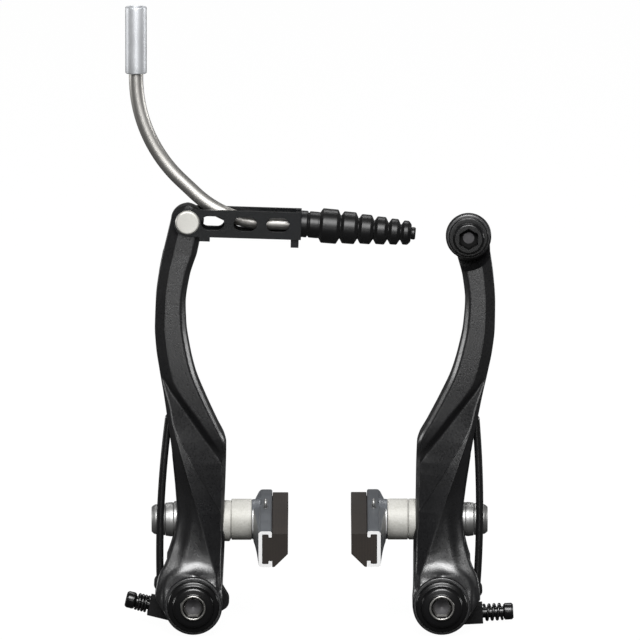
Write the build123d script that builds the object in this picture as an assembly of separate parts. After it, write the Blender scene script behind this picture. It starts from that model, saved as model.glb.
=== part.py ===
from build123d import *
import os
from math import asin, cos, degrees, radians, sin, sqrt, tan

os.makedirs("parts", exist_ok=True)

# Sizes in millimetres and degrees. +Z is up, +X is right and -Y is the front, where the bolt heads are.
# The origin lies midway between the two pivots, on the seat plane where the sleeves meet the fork.
# Each half is drawn as the right-hand one about its own pivot: u outwards, w upwards.

# Stance of the two halves
PIVOT_SPACING = 69.5
LEAN = {"left": 3.0, "right": 0.0}
UNIT_TURN = {"left": 14.0, "right": 3.0}
SCREW_REACH = {"left": 16.6, "right": 18.5}

# Fits: radial clearances, and the gap between faces that turn on each other
RUNNING = 0.05
SEATED = 0.02
FACE_GAP = 0.15
LOOSE = 0.25

# Pivot: sleeve, bush, stop plate, spring holder and bolt
SLEEVE_BORE = 8.1
SLEEVE_WALL = 1.4
BUSH_WALL = 0.75
EYE_RADIUS = 8.2
EYE_DEPTH = 16.7
STOP_PLATE = 1.2
STOP_RADIUS = 7.6
STOP_PIN_RADIUS = 1.0
STOP_PIN_LENGTH = 5.0
STOP_PIN_REACH = 9.0
STOP_PIN_ANGLE = 100.0
HOLDER_DEPTH = 6.6
HOLDER_RADIUS = 8.0
HOLDER_WALL = 1.4
INNER_LUG_REACH = {"left": 10.2, "right": 7.9}
INNER_LUG_RADIUS = 2.6
BOLT_FLANGE_RADIUS = 8.1
BOLT_FLANGE = 2.2
BOLT_DOME_RADIUS = 6.6
BOLT_DOME_TOP_RADIUS = 5.7
BOLT_DOME = 3.2
BOLT_THREAD = 6.0
BOLT_LENGTH = 18.0
HEX_KEY = 5.0
HEX_DEPTH = 3.6
HEX_RIM = 0.5

# Tension screw and its little spring
SCREW_THREAD = 3.0
SCREW_DROP = 6.2
SCREW_HEAD_RADIUS = 2.35
SCREW_HEAD = 2.8
SCREW_SLOT = 0.7
SCREW_SLOT_DEPTH = 1.0
TAB_AT = 7.2
TAB_THICKNESS = 1.2
TAB_WIDTH = 4.0
SCREW_LUG_AT = 9.3
SCREW_LUG = 2.0
SCREW_LUG_HEIGHT = 5.2
COIL_WIRE = 0.8
COIL_RADIUS = 2.1
COIL_TURNS = 3.5

# Return spring wire
WIRE = 2.1
WIRE_GAP = 0.3
WIRE_BEND = 2.6
WIRE_SEAT = (9.65, 0.6)
WIRE_TOP = (9.4, 50.5)
WIRE_BOW = 1.8
WIRE_LUG_RADIUS = 1.9
WIRE_ROOM = 14.4

# Arm outline up the arm: pairs of height and edge
KNEE = 46.5
SHOULDER = 66.0
ARM_TOP = 98.5
INNER_EDGE = [(3.0, -8.0), (17.0, -7.9), (24.0, -7.4), (44.5, -6.9), (KNEE, -6.4), (51.0, -4.0),
              (58.0, -0.4), (65.0, 2.8), (71.5, 4.7), (78.0, 6.0), (85.0, 6.5), (92.0, 5.8),
              (ARM_TOP, 4.1)]
OUTER_EDGE = [(3.0, 10.8), (7.0, 10.2), (10.5, 8.6), (14.0, 7.4), (18.0, 6.5), (24.0, 5.9),
              (31.0, 6.6), (38.0, 7.6), (KNEE, 8.9), (52.0, 10.0), (58.0, 11.2), (SHOULDER, 13.0),
              (71.5, 14.1), (78.0, 14.8), (85.0, 14.9), (92.0, 14.4), (ARM_TOP, 13.5)]
LOWER_HEIGHTS = [3.0, 8.0, 11.0, 14.0, 18.0, 24.0, 31.0, 38.0, KNEE]
MIDDLE_HEIGHTS = [KNEE, 52.0, 58.0, SHOULDER]
UPPER_HEIGHTS = [SHOULDER, 71.5, 78.0, 85.0, 92.0, ARM_TOP]
FLARE_FOOT = 1.0
FLARE_TOE_ANGLE = -40.0
LIP_RECESS = 1.2

# Arm relief: how far each line lies behind the front of the eye, up the arm
EDGE_BEVEL = 1.2
RIDGE_LINE = [(13.0, -4.9), (KNEE, 7.7)]
RIDGE_RECESS = [(8.0, 0.4), (14.0, 0.6), (31.0, 0.5), (KNEE, 2.1)]
PANEL_RECESS = [(8.0, 0.4), (24.0, 1.9), (KNEE, 3.7)]
SCOOP_RECESS = [(8.0, 0.4), (11.0, 2.1), (14.0, 3.3), (18.0, 3.4), (24.0, 2.6), (KNEE, 2.7)]
FLANK_RECESS = [(8.0, 0.8), (11.0, 2.6), (14.0, 4.4), (24.0, 5.4), (KNEE, 4.2)]
FACET_RECESS = [(KNEE, 3.7), (52.0, 3.2), (SHOULDER, 2.9), (ARM_TOP, 3.4)]
VALLEY_RECESS = [(KNEE, 3.9), (52.0, 4.1), (58.0, 4.0), (SHOULDER, 3.6)]
LETTER_PANEL_RECESS = [(KNEE, 2.1), (52.0, 2.6), (SHOULDER, 3.2)]
SIDE_RECESS = [(KNEE, 4.2), (SHOULDER, 4.9), (ARM_TOP, 5.0)]
BACK_STEP = [(14.0, -0.4), (24.0, 1.0), (31.0, 0.6), (KNEE, -1.8), (SHOULDER, -3.1), (ARM_TOP, -3.2)]
FACET_BEVEL = 1.6
VALLEY_INSET = 1.9

# Arm top: tongue for the link on the left, cable anchor on the right
TONGUE_SETBACK = 6.4
TONGUE_WIDTH = 6.0
TONGUE_RADIUS = 4.6
TONGUE_ROOT = (9.4, 93.0)
LINK_PIN_AT = (7.2, 107.7)
ANCHOR_AT = (7.4, 104.1)
ANCHOR_RADIUS = 6.35
ANCHOR_DEPTH = 11.4
ANCHOR_RIM = 3.0
ANCHOR_BACK_RADIUS = 4.4
ANCHOR_STEP_RADIUS = 9.4
ANCHOR_STEP = 1.0
ANCHOR_THREAD = 6.0
ANCHOR_HEAD_RADIUS = 4.4
ANCHOR_HEAD = 3.0
ANCHOR_HEX_DEPTH = 2.2
ANCHOR_WASHER_RADIUS = 5.55
ANCHOR_WASHER = 1.6
CABLE_GROOVE = 1.6

# Shoe: washers, nut, post, holder and pad
POST_SETBACK = 11.95
POST_HEIGHT = 22.4
POST_THREAD = 6.0
POST_SLOT = 11.0
INNER_SEAT = -7.2
OUTER_SEAT = 5.7
INNER_WASHER_RADIUS = 5.75
INNER_DOME_EDGE = 2.0
INNER_CUP = 6.0
OUTER_WASHER_RADIUS = 4.75
OUTER_DOME_EDGE = 1.0
OUTER_CUP = 2.3
CUP_RIM = 0.15
DOME_BORE = 7.6
CUP_BORE = 6.6
NUT_RADIUS = 4.15
NUT_BASE_RADIUS = 4.55
NUT_LENGTH = 3.9
NUT_SOCKET = 1.7
NUT_CHAMFER = 0.5
HOLDER_BOSS = 2.05
HOLDER_BOSS_RADIUS = 5.7
PAD_LENGTH = 70.0
PAD_HEIGHT = 10.4
PAD_DROP = 0.4
RIM_RADIUS = 280.0
CHANNEL_WALL = 0.9
CHANNEL_DEPTH = 3.6
CHANNEL_LIP = 0.9
PAD_FIT = 0.1
PAD_STAND = 4.5
PAD_CHAMFER = 3.8
PAD_TOP_DROP = 0.8
SPINE_LENGTH = 69.0
SPINE_HEIGHT = 9.6
PAD_PIN = 1.2
PAD_PIN_AT = -9.0
PAD_PIN_EYE = 0.85

# Link, in its own frame: along the link from the pin, and up
LINK_SLOPE = 1.75
LINK_LENGTH = 30.2
LINK_RISE = 3.7
LINK_FALL = 4.0
LINK_SHEET = 1.2
LINK_END_WALL = 1.6
LINK_SLOT_LENGTH = 6.5
LINK_SLOT_WIDTH = 3.9
LINK_SLOT_PITCH = 9.1
LINK_FIRST_SLOT = 7.05
LINK_SLOTS = 3
LINK_WEB_START = 11.0
LINK_EAR_START = 3.4
LINK_EAR_WIDTH = 3.0
LINK_EAR_DROP = 1.2
LINK_HOOK_WIDTH = 2.2
LINK_HOOK_DROP = 2.4
LINK_PIN_RADIUS = 2.5
LINK_PIN_HEAD_RADIUS = 3.4
LINK_PIN_HEAD = 0.8

# Guide tube, its liner, end ferrule and boot, from the link pin
TUBE_RADIUS = 2.0
TUBE_BORE_RADIUS = 1.45
TUBE_ANGLE = 46.5
TUBE_LIFT = 7.0
TUBE_OFFSET = 14.3
TUBE_BEND_TOP = 40.0
TUBE_BEND_LINK = 30.0
LINER_RADIUS = 1.35
LINER_BORE_RADIUS = 0.85
LINER_BEND = 40.0
FERRULE_HEIGHT = 41.5
FERRULE_LENGTH = 18.7
FERRULE_RADIUS = 3.0
FERRULE_INSERT = 6.5
HOUSING_BORE_RADIUS = 2.55
BOOT_DROOP = 3.25
BOOT_NECK_LENGTH = 5.0
BOOT_NECK_RADIUS = 3.8
BOOT_RIB_LENGTHS = [5.9, 5.0, 4.4, 4.0, 3.5, 3.0]
BOOT_RIB_RADII = [4.9, 4.55, 4.2, 3.95, 3.7, 3.45]
BOOT_GROOVE = 1.1
BOOT_RIB_TAPER = 0.35
BOOT_WALL = 1.2
BOOT_NOSE_LENGTH = 1.2
BOOT_NOSE_RADIUS = 1.75

# Places worked out from the sizes
SLEEVE_RADIUS = SLEEVE_BORE / 2 + SLEEVE_WALL
BUSH_RADIUS = SLEEVE_RADIUS + RUNNING + BUSH_WALL
HOLDER_BACK = -STOP_PLATE - FACE_GAP
HOLDER_FRONT = HOLDER_BACK - HOLDER_DEPTH
EYE_BACK = HOLDER_FRONT - 2 * FACE_GAP
EYE_FRONT = EYE_BACK - EYE_DEPTH
BOLT_SEAT = EYE_FRONT - FACE_GAP
SCREW_PLANE = (HOLDER_BACK + HOLDER_FRONT) / 2
SCREW_RADIUS = SCREW_THREAD / 2
POST_RADIUS = POST_THREAD / 2
POST_PLANE = EYE_FRONT + POST_SETBACK
WIRE_RADIUS = WIRE / 2
WIRE_PLANE = POST_PLANE - OUTER_WASHER_RADIUS - WIRE_GAP - WIRE_RADIUS
LIP_BACK = WIRE_PLANE - WIRE_RADIUS - WIRE_GAP
LINK_PLANE = EYE_FRONT + TONGUE_SETBACK
SEAT_HALF = (OUTER_SEAT - INNER_SEAT) / 2
TILT_AT = ((OUTER_SEAT + INNER_SEAT) / 2, POST_HEIGHT)
INNER_CUP_END = SEAT_HALF + INNER_DOME_EDGE + INNER_CUP
OUTER_CUP_END = SEAT_HALF + OUTER_DOME_EDGE + OUTER_CUP
CHANNEL_BACK = INNER_CUP_END + HOLDER_BOSS
CHANNEL_FRONT = CHANNEL_BACK + CHANNEL_DEPTH
YOKE_HALF = TONGUE_WIDTH / 2 + FACE_GAP
YOKE_OUTER = YOKE_HALF + LINK_SHEET
LINK_END = LINK_LENGTH + LINK_END_WALL


def leaned(point, angle):
    """A point (u, w) of the arm after the arm leans inwards about the pivot."""
    u, w = point
    turn = radians(angle)
    return u * cos(turn) - w * sin(turn), u * sin(turn) + w * cos(turn)


def trace(pairs, height):
    """Value at a height on a line through pairs of height and value, level beyond its ends."""
    if height <= pairs[0][0]:
        return pairs[0][1]
    for (low, before), (high, after) in zip(pairs, pairs[1:]):
        if height <= high:
            return before + (after - before) * (height - low) / (high - low)
    return pairs[-1][1]


def rod(radius, start, end):
    """Round bar between two points."""
    axis = Vector(*end) - Vector(*start)
    bar = Cylinder(radius, axis.length, align=(Align.CENTER, Align.CENTER, Align.MIN))
    return Plane(origin=start, z_dir=axis) * bar


def cone(start_radius, end_radius, start, end):
    """Round taper between two points."""
    axis = Vector(*end) - Vector(*start)
    bar = Cone(start_radius, end_radius, axis.length, align=(Align.CENTER, Align.CENTER, Align.MIN))
    return Plane(origin=start, z_dir=axis) * bar


def y_rod(radius, back, front, at=(0.0, 0.0)):
    """Round bar along Y through a point (u, w)."""
    return rod(radius, (at[0], back, at[1]), (at[0], front, at[1]))


def x_rod(radius, start, end, y=0.0, z=0.0):
    """Round bar along X."""
    return rod(radius, (start, y, z), (end, y, z))


def block(low, high):
    """Box between two opposite corners."""
    corner = Pos(*low)
    size = [b - a for a, b in zip(low, high)]
    return corner * Box(*size, align=(Align.MIN, Align.MIN, Align.MIN))


def plate(sketch, back, front):
    """Sketch in (u, w) made solid between two planes along Y."""
    return extrude(Plane.XZ.offset(-back) * sketch, amount=back - front)


def polygon(points):
    """Face bounded by straight lines through the points."""
    return make_face(Polyline(*points, close=True))


def hull_of(*circles):
    """Face round several circles, each a radius and a centre."""
    edges = [edge for radius, at in circles for edge in (Pos(*at) * Circle(radius)).edges()]
    return make_hull(edges)


def hex_socket(width, start, end):
    """Hexagonal bar to cut a key socket, along Y, with one corner pointing down."""
    return plate(Rot(0, 0, 30) * RegularPolygon(width / 2, 6, major_radius=False), start, end)


def swept(radius, path):
    """Round wire or bar along a path."""
    start = path @ 0
    return sweep(Plane(origin=start, z_dir=path % 0) * Circle(radius), path=path)


def arm_section(height, front):
    """Closed section of the arm at a height, with its front line given from inner to outer edge."""
    back = EYE_BACK + trace(BACK_STEP, height)
    outline = [(trace(INNER_EDGE, height), back), *front, (trace(OUTER_EDGE, height), back)]
    return Plane.XY.offset(height) * polygon(outline)


def lower_front(height):
    """Front line of the lower arm: bevel, flat panel, sharp ridge, scooped face and outer flank."""
    inner = trace(INNER_EDGE, height)
    outer = trace(OUTER_EDGE, height)
    panel = EYE_FRONT + trace(PANEL_RECESS, height)
    ridge = max(trace(RIDGE_LINE, height), inner + 2 * EDGE_BEVEL)
    return [
        (inner, panel + EDGE_BEVEL),
        (inner + EDGE_BEVEL, panel),
        (ridge, EYE_FRONT + trace(RIDGE_RECESS, height)),
        ((ridge + outer) / 2, EYE_FRONT + trace(SCOOP_RECESS, height)),
        (outer, EYE_FRONT + trace(FLANK_RECESS, height)),
    ]


def middle_front(height):
    """Front line across the diagonal valley between the upper facet and the flat panel."""
    inner = trace(INNER_EDGE, height)
    outer = trace(OUTER_EDGE, height)
    facet = EYE_FRONT + trace(FACET_RECESS, height)
    share = (height - KNEE) / (SHOULDER - KNEE)
    valley = inner + VALLEY_INSET + share * (outer - inner - 2 * VALLEY_INSET)
    return [
        (inner, facet + EDGE_BEVEL),
        (inner + EDGE_BEVEL, facet),
        (valley, EYE_FRONT + trace(VALLEY_RECESS, height)),
        (outer - EDGE_BEVEL, EYE_FRONT + trace(LETTER_PANEL_RECESS, height)),
        (outer, EYE_FRONT + trace(SIDE_RECESS, height)),
    ]


def upper_front(height):
    """Front line of the upper arm: a flat facet between two bevels."""
    inner = trace(INNER_EDGE, height)
    outer = trace(OUTER_EDGE, height)
    facet = EYE_FRONT + trace(FACET_RECESS, height)
    side = EYE_FRONT + trace(SIDE_RECESS, height)
    return [
        (inner, side),
        (inner + FACET_BEVEL, facet),
        (outer - FACET_BEVEL, facet),
        (outer, side),
    ]


def arm_blank():
    """Arm up to its top, with the pivot eye, the flared lip over the spring and the shoe slot."""
    blank = loft([arm_section(h, lower_front(h)) for h in LOWER_HEIGHTS], ruled=True)
    blank += loft([arm_section(h, middle_front(h)) for h in MIDDLE_HEIGHTS], ruled=True)
    blank += loft([arm_section(h, upper_front(h)) for h in UPPER_HEIGHTS], ruled=True)
    flare_at, flare = OUTER_EDGE[0]
    toe = leaned((EYE_RADIUS, 0.0), FLARE_TOE_ANGLE)
    lip = polygon([(0.0, 0.0), toe, (flare, FLARE_FOOT), (flare, flare_at), (0.0, flare_at)])
    blank += plate(lip, LIP_BACK, EYE_FRONT + LIP_RECESS)
    room = y_rod(WIRE_ROOM, EYE_BACK + 2 * STOP_PLATE, LIP_BACK)
    far = 2 * flare
    fan = polygon([(0.0, 0.0), leaned((far, 0.0), -75.0), (far, 0.0), leaned((far, 0.0), 75.0)])
    blank -= room & plate(fan, EYE_BACK + 2 * STOP_PLATE, LIP_BACK)
    blank += y_rod(EYE_RADIUS, EYE_BACK, EYE_FRONT)
    blank -= y_rod(BUSH_RADIUS + SEATED, EYE_BACK, EYE_FRONT)
    blank -= shoe_slot()
    return blank - wire_groove()


def shoe_slot():
    """Slot for the shoe post, with a flat round seat on each side of the arm."""
    at = Pos(0, POST_PLANE, POST_HEIGHT)
    width = POST_THREAD + 2 * LOOSE
    slot = extrude(Plane.YZ * Rot(0, 0, 90) * SlotOverall(POST_SLOT, width), 30, both=True)
    seats = x_rod(INNER_WASHER_RADIUS + LOOSE, INNER_SEAT, INNER_SEAT - 5)
    seats += x_rod(OUTER_WASHER_RADIUS + LOOSE, OUTER_SEAT, OUTER_SEAT + 5)
    return at * (slot + seats)


def wire_groove():
    """Groove in the outer edge of the arm that holds the upper end of the return spring."""
    room = WIRE_RADIUS + LOOSE
    u, w = WIRE_TOP
    return block((u - room, WIRE_PLANE - room, w - 11), (u + 8, WIRE_PLANE + room, w + 2))


def left_top():
    """Tongue at the top of the left arm that the link straddles."""
    tongue = hull_of((TONGUE_RADIUS, LINK_PIN_AT), (TONGUE_RADIUS, TONGUE_ROOT))
    return plate(tongue, LINK_PLANE + TONGUE_WIDTH / 2, LINK_PLANE - TONGUE_WIDTH / 2)


def left_arm():
    """Left arm, drawn right-handed: blank with a tongue for the link, flush with the upper facet."""
    arm = arm_blank() + left_top()
    return arm - y_rod(LINK_PIN_RADIUS + RUNNING, 0, EYE_FRONT, LINK_PIN_AT)


def right_arm():
    """Right arm: blank with a round boss for the cable anchor and a step below it."""
    back = LINK_PLANE + ANCHOR_DEPTH / 2
    front = LINK_PLANE - ANCHOR_DEPTH / 2
    step = EYE_FRONT + trace(FACET_RECESS, ARM_TOP) + ANCHOR_STEP
    arm = arm_blank() - y_rod(ANCHOR_STEP_RADIUS, step, EYE_FRONT, ANCHOR_AT)
    arm += y_rod(ANCHOR_RADIUS, front + ANCHOR_RIM, front, ANCHOR_AT)
    u, w = ANCHOR_AT
    arm += cone(ANCHOR_BACK_RADIUS, ANCHOR_RADIUS, (u, back, w), (u, front + ANCHOR_RIM, w))
    root = hull_of((TONGUE_RADIUS, ANCHOR_AT), (TONGUE_RADIUS, TONGUE_ROOT))
    arm += plate(root, LINK_PLANE + TONGUE_WIDTH / 2, step)
    return arm - y_rod(ANCHOR_THREAD / 2 + SEATED, back, front, ANCHOR_AT)


def pivot_sleeve():
    """Sleeve that slips over the stud on the fork and carries the bush."""
    return y_rod(SLEEVE_RADIUS, 0, BOLT_SEAT) - y_rod(SLEEVE_BORE / 2, 0, BOLT_SEAT)


def bearing_bush():
    """Thin bush pressed into the eye of the arm."""
    bore = y_rod(SLEEVE_RADIUS + RUNNING, EYE_BACK, EYE_FRONT)
    return y_rod(BUSH_RADIUS, EYE_BACK, EYE_FRONT) - bore


def pivot_bolt():
    """Flanged bolt with a stepped dome, a key socket and a threaded shank."""
    flange_front = BOLT_SEAT - BOLT_FLANGE
    top = flange_front - BOLT_DOME
    flange = chamfer(y_rod(BOLT_FLANGE_RADIUS, BOLT_SEAT, flange_front).edges(), BOLT_FLANGE / 5)
    bolt = flange + cone(BOLT_DOME_RADIUS, BOLT_DOME_TOP_RADIUS, (0, flange_front, 0), (0, top, 0))
    bolt += y_rod(BOLT_THREAD / 2, BOLT_SEAT + BOLT_LENGTH, BOLT_SEAT)
    bolt -= hex_socket(HEX_KEY, top + HEX_DEPTH, top)
    rim = HEX_KEY / sqrt(3)
    return bolt - cone(rim + HEX_RIM, rim, (0, top, 0), (0, top + HEX_RIM, 0))


def stop_plate():
    """Plate behind the spring holder, with a pin into the fork and a tab for the tension screw."""
    pin_at = leaned((STOP_PIN_REACH, 0.0), STOP_PIN_ANGLE)
    tab_end = TAB_AT + TAB_THICKNESS
    outline = hull_of((STOP_RADIUS, (0, 0)), (2 * STOP_PIN_RADIUS, pin_at))
    low = -SCREW_DROP - TAB_WIDTH / 2
    outline += Pos(tab_end / 2, -SCREW_DROP) * Rectangle(tab_end, TAB_WIDTH)
    shape = plate(outline, 0, -STOP_PLATE)
    shape += block((TAB_AT, HOLDER_FRONT + 1.5 * HOLDER_WALL, low), (tab_end, 0, low + TAB_WIDTH))
    shape += y_rod(STOP_PIN_RADIUS, STOP_PIN_LENGTH, -STOP_PLATE, pin_at)
    return shape - y_rod(SLEEVE_RADIUS + SEATED, 0, -STOP_PLATE)


def spring_holder(side):
    """Holder round the sleeve with a lug for the wire, a lug for the screw and an inner lug."""
    lug_end = SCREW_LUG_AT + SCREW_LUG
    low = -SCREW_DROP - SCREW_LUG_HEIGHT / 2
    high = low + SCREW_LUG_HEIGHT
    outline = hull_of((WIRE_LUG_RADIUS, WIRE_SEAT), (WIRE_LUG_RADIUS, (0, 0)))
    outline += hull_of((INNER_LUG_RADIUS, (INNER_LUG_RADIUS - INNER_LUG_REACH[side], 0)), (HOLDER_RADIUS, (0, 0)))
    shape = plate(outline, HOLDER_BACK, HOLDER_FRONT)
    shape += block((0, HOLDER_FRONT, low), (lug_end, HOLDER_FRONT + HOLDER_WALL, high))
    shape += block((SCREW_LUG_AT, HOLDER_FRONT, low), (lug_end, HOLDER_BACK, high))
    shape -= y_rod(SLEEVE_RADIUS + RUNNING, HOLDER_BACK, HOLDER_FRONT)
    shape -= y_rod(WIRE_RADIUS + RUNNING, HOLDER_BACK, HOLDER_FRONT, WIRE_SEAT)
    return shape - x_rod(SCREW_RADIUS + RUNNING, SCREW_LUG_AT, lug_end, SCREW_PLANE, -SCREW_DROP)


def adjuster_screw(side):
    """Tension screw with a cross-slotted round head, its tip close to the tab of the stop plate."""
    reach = SCREW_REACH[side]
    head_back = reach - SCREW_HEAD / 2
    head_front = reach + SCREW_HEAD / 2
    tip = TAB_AT + TAB_THICKNESS + FACE_GAP
    head = x_rod(SCREW_HEAD_RADIUS, head_back, head_front)
    head = chamfer(head.edges().filter_by(GeomType.CIRCLE), SCREW_HEAD / 6)
    screw = head + x_rod(SCREW_RADIUS, tip, head_back)
    for width, height in ((SCREW_SLOT, 1.5 * SCREW_HEAD_RADIUS), (1.5 * SCREW_HEAD_RADIUS, SCREW_SLOT)):
        screw -= Pos(head_front, 0, 0) * Box(2 * SCREW_SLOT_DEPTH, width, height)
    return Pos(0, SCREW_PLANE, -SCREW_DROP) * screw


def adjuster_spring(side):
    """Little coil spring between the screw lug and the screw head."""
    start = SCREW_LUG_AT + SCREW_LUG + COIL_WIRE / 2
    end = SCREW_REACH[side] - SCREW_HEAD / 2 - COIL_WIRE / 2
    path = Helix((end - start) / COIL_TURNS, end - start, COIL_RADIUS)
    coil = sweep(Plane(origin=path @ 0, z_dir=path % 0) * Circle(COIL_WIRE / 2), path=path, is_frenet=True)
    return Pos(start, SCREW_PLANE, -SCREW_DROP) * Rot(0, 90, 0) * coil


def return_spring(side):
    """Spring wire: a leg forwards out of the holder, a bend, and a bowed run up to the arm's groove."""
    seat = leaned(WIRE_SEAT, UNIT_TURN[side])
    top = leaned(WIRE_TOP, LEAN[side])
    bow = ((seat[0] + top[0]) / 2 + WIRE_BOW, (seat[1] + top[1]) / 2)
    points = [(seat[0], HOLDER_BACK, seat[1])]
    points += [(u, WIRE_PLANE, w) for u, w in (seat, bow, top)]
    half_turn = degrees(2 * WIRE_BOW / (top[1] - seat[1]))
    bow_radius = 0.42 * (top[1] - seat[1]) / tan(radians(half_turn))
    return swept(WIRE_RADIUS, FilletPolyline(*points, radius=[WIRE_BEND, bow_radius]))


def dome_washer(radius, edge, side):
    """Washer with a flat face on the arm's seat and a domed face about the tilt centre."""
    ball = sqrt((SEAT_HALF + edge) ** 2 + radius**2)
    washer = x_rod(radius, side * SEAT_HALF, side * 2 * ball) & Rot(0, 0, 90) * Sphere(ball)
    return washer - x_rod(DOME_BORE / 2, 0, side * 2 * ball)


def cup_washer(radius, edge, end, side):
    """Washer whose hollow face rides on a dome about the tilt centre."""
    ball = sqrt((SEAT_HALF + edge) ** 2 + radius**2) + RUNNING
    washer = x_rod(radius, side * (SEAT_HALF + edge + CUP_RIM), side * end) - Rot(0, 0, 90) * Sphere(ball)
    return washer - x_rod(CUP_BORE / 2, 0, side * end)


def shoe_nut():
    """Round nut on the outer end of the post, with a key socket in its end."""
    end = OUTER_CUP_END + NUT_LENGTH
    nut = cone(NUT_BASE_RADIUS, NUT_RADIUS, (OUTER_CUP_END, 0, 0), (end, 0, 0))
    nut = chamfer(nut.edges().filter_by(GeomType.CIRCLE).sort_by(Axis.X)[-1], NUT_CHAMFER)
    nut -= x_rod(POST_RADIUS + SEATED, OUTER_CUP_END, end - NUT_SOCKET - NUT_CHAMFER)
    socket = RegularPolygon(HEX_KEY / 2, 6, major_radius=False)
    return nut - extrude(Plane.YZ.offset(end) * socket, -NUT_SOCKET)


def shoe_post():
    """Threaded post from the shoe holder through the arm into the nut."""
    inner = -CHANNEL_BACK - CHANNEL_WALL / 3
    return x_rod(POST_RADIUS, inner, OUTER_CUP_END + NUT_LENGTH - NUT_SOCKET - 2 * NUT_CHAMFER)


def along_rim(section):
    """Section in (x, z) at the post, carried along the rim over the length of the pad."""
    hub = Axis((0, 0, -RIM_RADIUS), (1, 0, 0))
    sweep_angle = 2 * degrees(asin(PAD_LENGTH / 2 / RIM_RADIUS))
    face = Plane.XZ * polygon(section)
    return revolve(face, hub, sweep_angle).rotate(hub, -sweep_angle / 2)


def shoe_holder():
    """Cartridge holder: a lipped channel along the rim with a boss and a tapered spine at its back."""
    half = PAD_HEIGHT / 2
    flange = half - CHANNEL_WALL
    lip = flange - CHANNEL_LIP
    lip_back = -CHANNEL_FRONT + CHANNEL_LIP
    upper = [
        (-CHANNEL_BACK - CHANNEL_WALL, flange),
        (lip_back, flange),
        (lip_back, lip),
        (-CHANNEL_FRONT, lip),
        (-CHANNEL_FRONT, half),
        (-CHANNEL_BACK, half),
    ]
    section = upper + [(x, -z) for x, z in reversed(upper)]
    holder = Pos(0, 0, -PAD_DROP) * along_rim(section)
    middle = HOLDER_BOSS_RADIUS + HOLDER_BOSS
    spine_back = -CHANNEL_BACK + 0.8 * HOLDER_BOSS
    spine = polygon([
        (-CHANNEL_BACK - CHANNEL_WALL / 2, -SPINE_LENGTH / 2),
        (-CHANNEL_BACK - CHANNEL_WALL / 2, SPINE_LENGTH / 2),
        (spine_back, middle),
        (spine_back, -middle),
    ])
    root = -CHANNEL_BACK - CHANNEL_WALL / 2
    high = SPINE_HEIGHT / 2
    bar = along_rim([(root, high), (spine_back, high), (spine_back, -high), (root, -high)])
    holder += Pos(0, 0, -PAD_DROP) * bar & Pos(0, 0, -PAD_HEIGHT) * extrude(spine, 2 * PAD_HEIGHT)
    holder += x_rod(HOLDER_BOSS_RADIUS, -INNER_CUP_END, -CHANNEL_BACK - CHANNEL_WALL / 2)
    holder -= x_rod(POST_RADIUS + SEATED, -INNER_CUP_END, -CHANNEL_BACK - CHANNEL_WALL / 3)
    return holder - pad_pin(RUNNING)


def pad():
    """Rubber block keyed into the holder, with its lower inner edge cut off."""
    half = PAD_HEIGHT / 2
    key = half - CHANNEL_WALL - PAD_FIT
    neck = key - CHANNEL_LIP
    key_back = -CHANNEL_BACK - CHANNEL_WALL - PAD_FIT
    key_front = -CHANNEL_FRONT + CHANNEL_LIP + PAD_FIT
    block_back = -CHANNEL_FRONT - PAD_FIT
    face = -CHANNEL_FRONT - PAD_STAND
    section = [
        (key_back, key),
        (key_front, key),
        (key_front, neck),
        (block_back, neck),
        (block_back, half - PAD_TOP_DROP),
        (face, half - PAD_TOP_DROP),
        (face, -half + PAD_CHAMFER),
        (face + PAD_CHAMFER, -half),
        (block_back, -half),
        (block_back, -neck),
        (key_front, -neck),
        (key_front, -key),
        (key_back, -key),
    ]
    return Pos(0, 0, -PAD_DROP) * along_rim(section) - pad_pin(RUNNING)


def pad_pin(room=0.0):
    """Split pin down through holder and pad, with a round eye above; room widens it to cut its hole."""
    x = -(CHANNEL_BACK + CHANNEL_FRONT) / 2
    top = PAD_HEIGHT / 2
    radius = PAD_PIN / 2 + room
    pin = rod(radius, (x, PAD_PIN_AT, -PAD_DROP - top), (x, PAD_PIN_AT, top))
    eye = Torus(PAD_PIN_EYE, PAD_PIN / 2 - LOOSE / 2)
    eye = Pos(x, PAD_PIN_AT, top + PAD_PIN_EYE) * Rot(0, 90, 0) * eye
    return pin if room else pin + eye


def link_side(inner, outer):
    """One cheek of the link with its pin hole, slots and the small ear below."""
    height = LINK_RISE + LINK_FALL
    cheek = Pos(LINK_END / 2, (LINK_RISE - LINK_FALL) / 2) * Rectangle(LINK_END, height)
    cheek += Pos(0, (LINK_RISE - LINK_FALL) / 2) * Circle(height / 2)
    ear = Rectangle(LINK_EAR_WIDTH, LINK_EAR_DROP, align=(Align.MIN, Align.MAX))
    cheek += Pos(LINK_EAR_START, -LINK_FALL) * ear
    for number in range(LINK_SLOTS):
        at = Pos(LINK_FIRST_SLOT + number * LINK_SLOT_PITCH, 0)
        cheek -= at * SlotOverall(LINK_SLOT_LENGTH, LINK_SLOT_WIDTH)
    cheek -= Circle(LINK_PIN_RADIUS + SEATED)
    return plate(cheek, outer, inner)


def link():
    """Folded steel link: two slotted cheeks, a web below and an end wall with a slot for the cable."""
    shape = link_side(YOKE_HALF, YOKE_OUTER) + link_side(-YOKE_OUTER, -YOKE_HALF)
    shape += block((LINK_WEB_START, -YOKE_OUTER, -LINK_FALL), (LINK_END, YOKE_OUTER, LINK_SHEET - LINK_FALL))
    shape += block((LINK_LENGTH, -YOKE_OUTER, -LINK_FALL), (LINK_END, YOKE_OUTER, LINK_RISE))
    hook = LINK_END - LINK_SHEET / 2
    shape += block((hook - LINK_HOOK_WIDTH, -YOKE_HALF, -LINK_FALL - LINK_HOOK_DROP),
                   (hook, YOKE_HALF, -LINK_FALL))
    cable = LINER_RADIUS + LOOSE
    shape -= x_rod(cable, LINK_LENGTH, LINK_END)
    return shape - block((LINK_LENGTH, -cable, 0), (LINK_END, cable, LINK_RISE))


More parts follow.
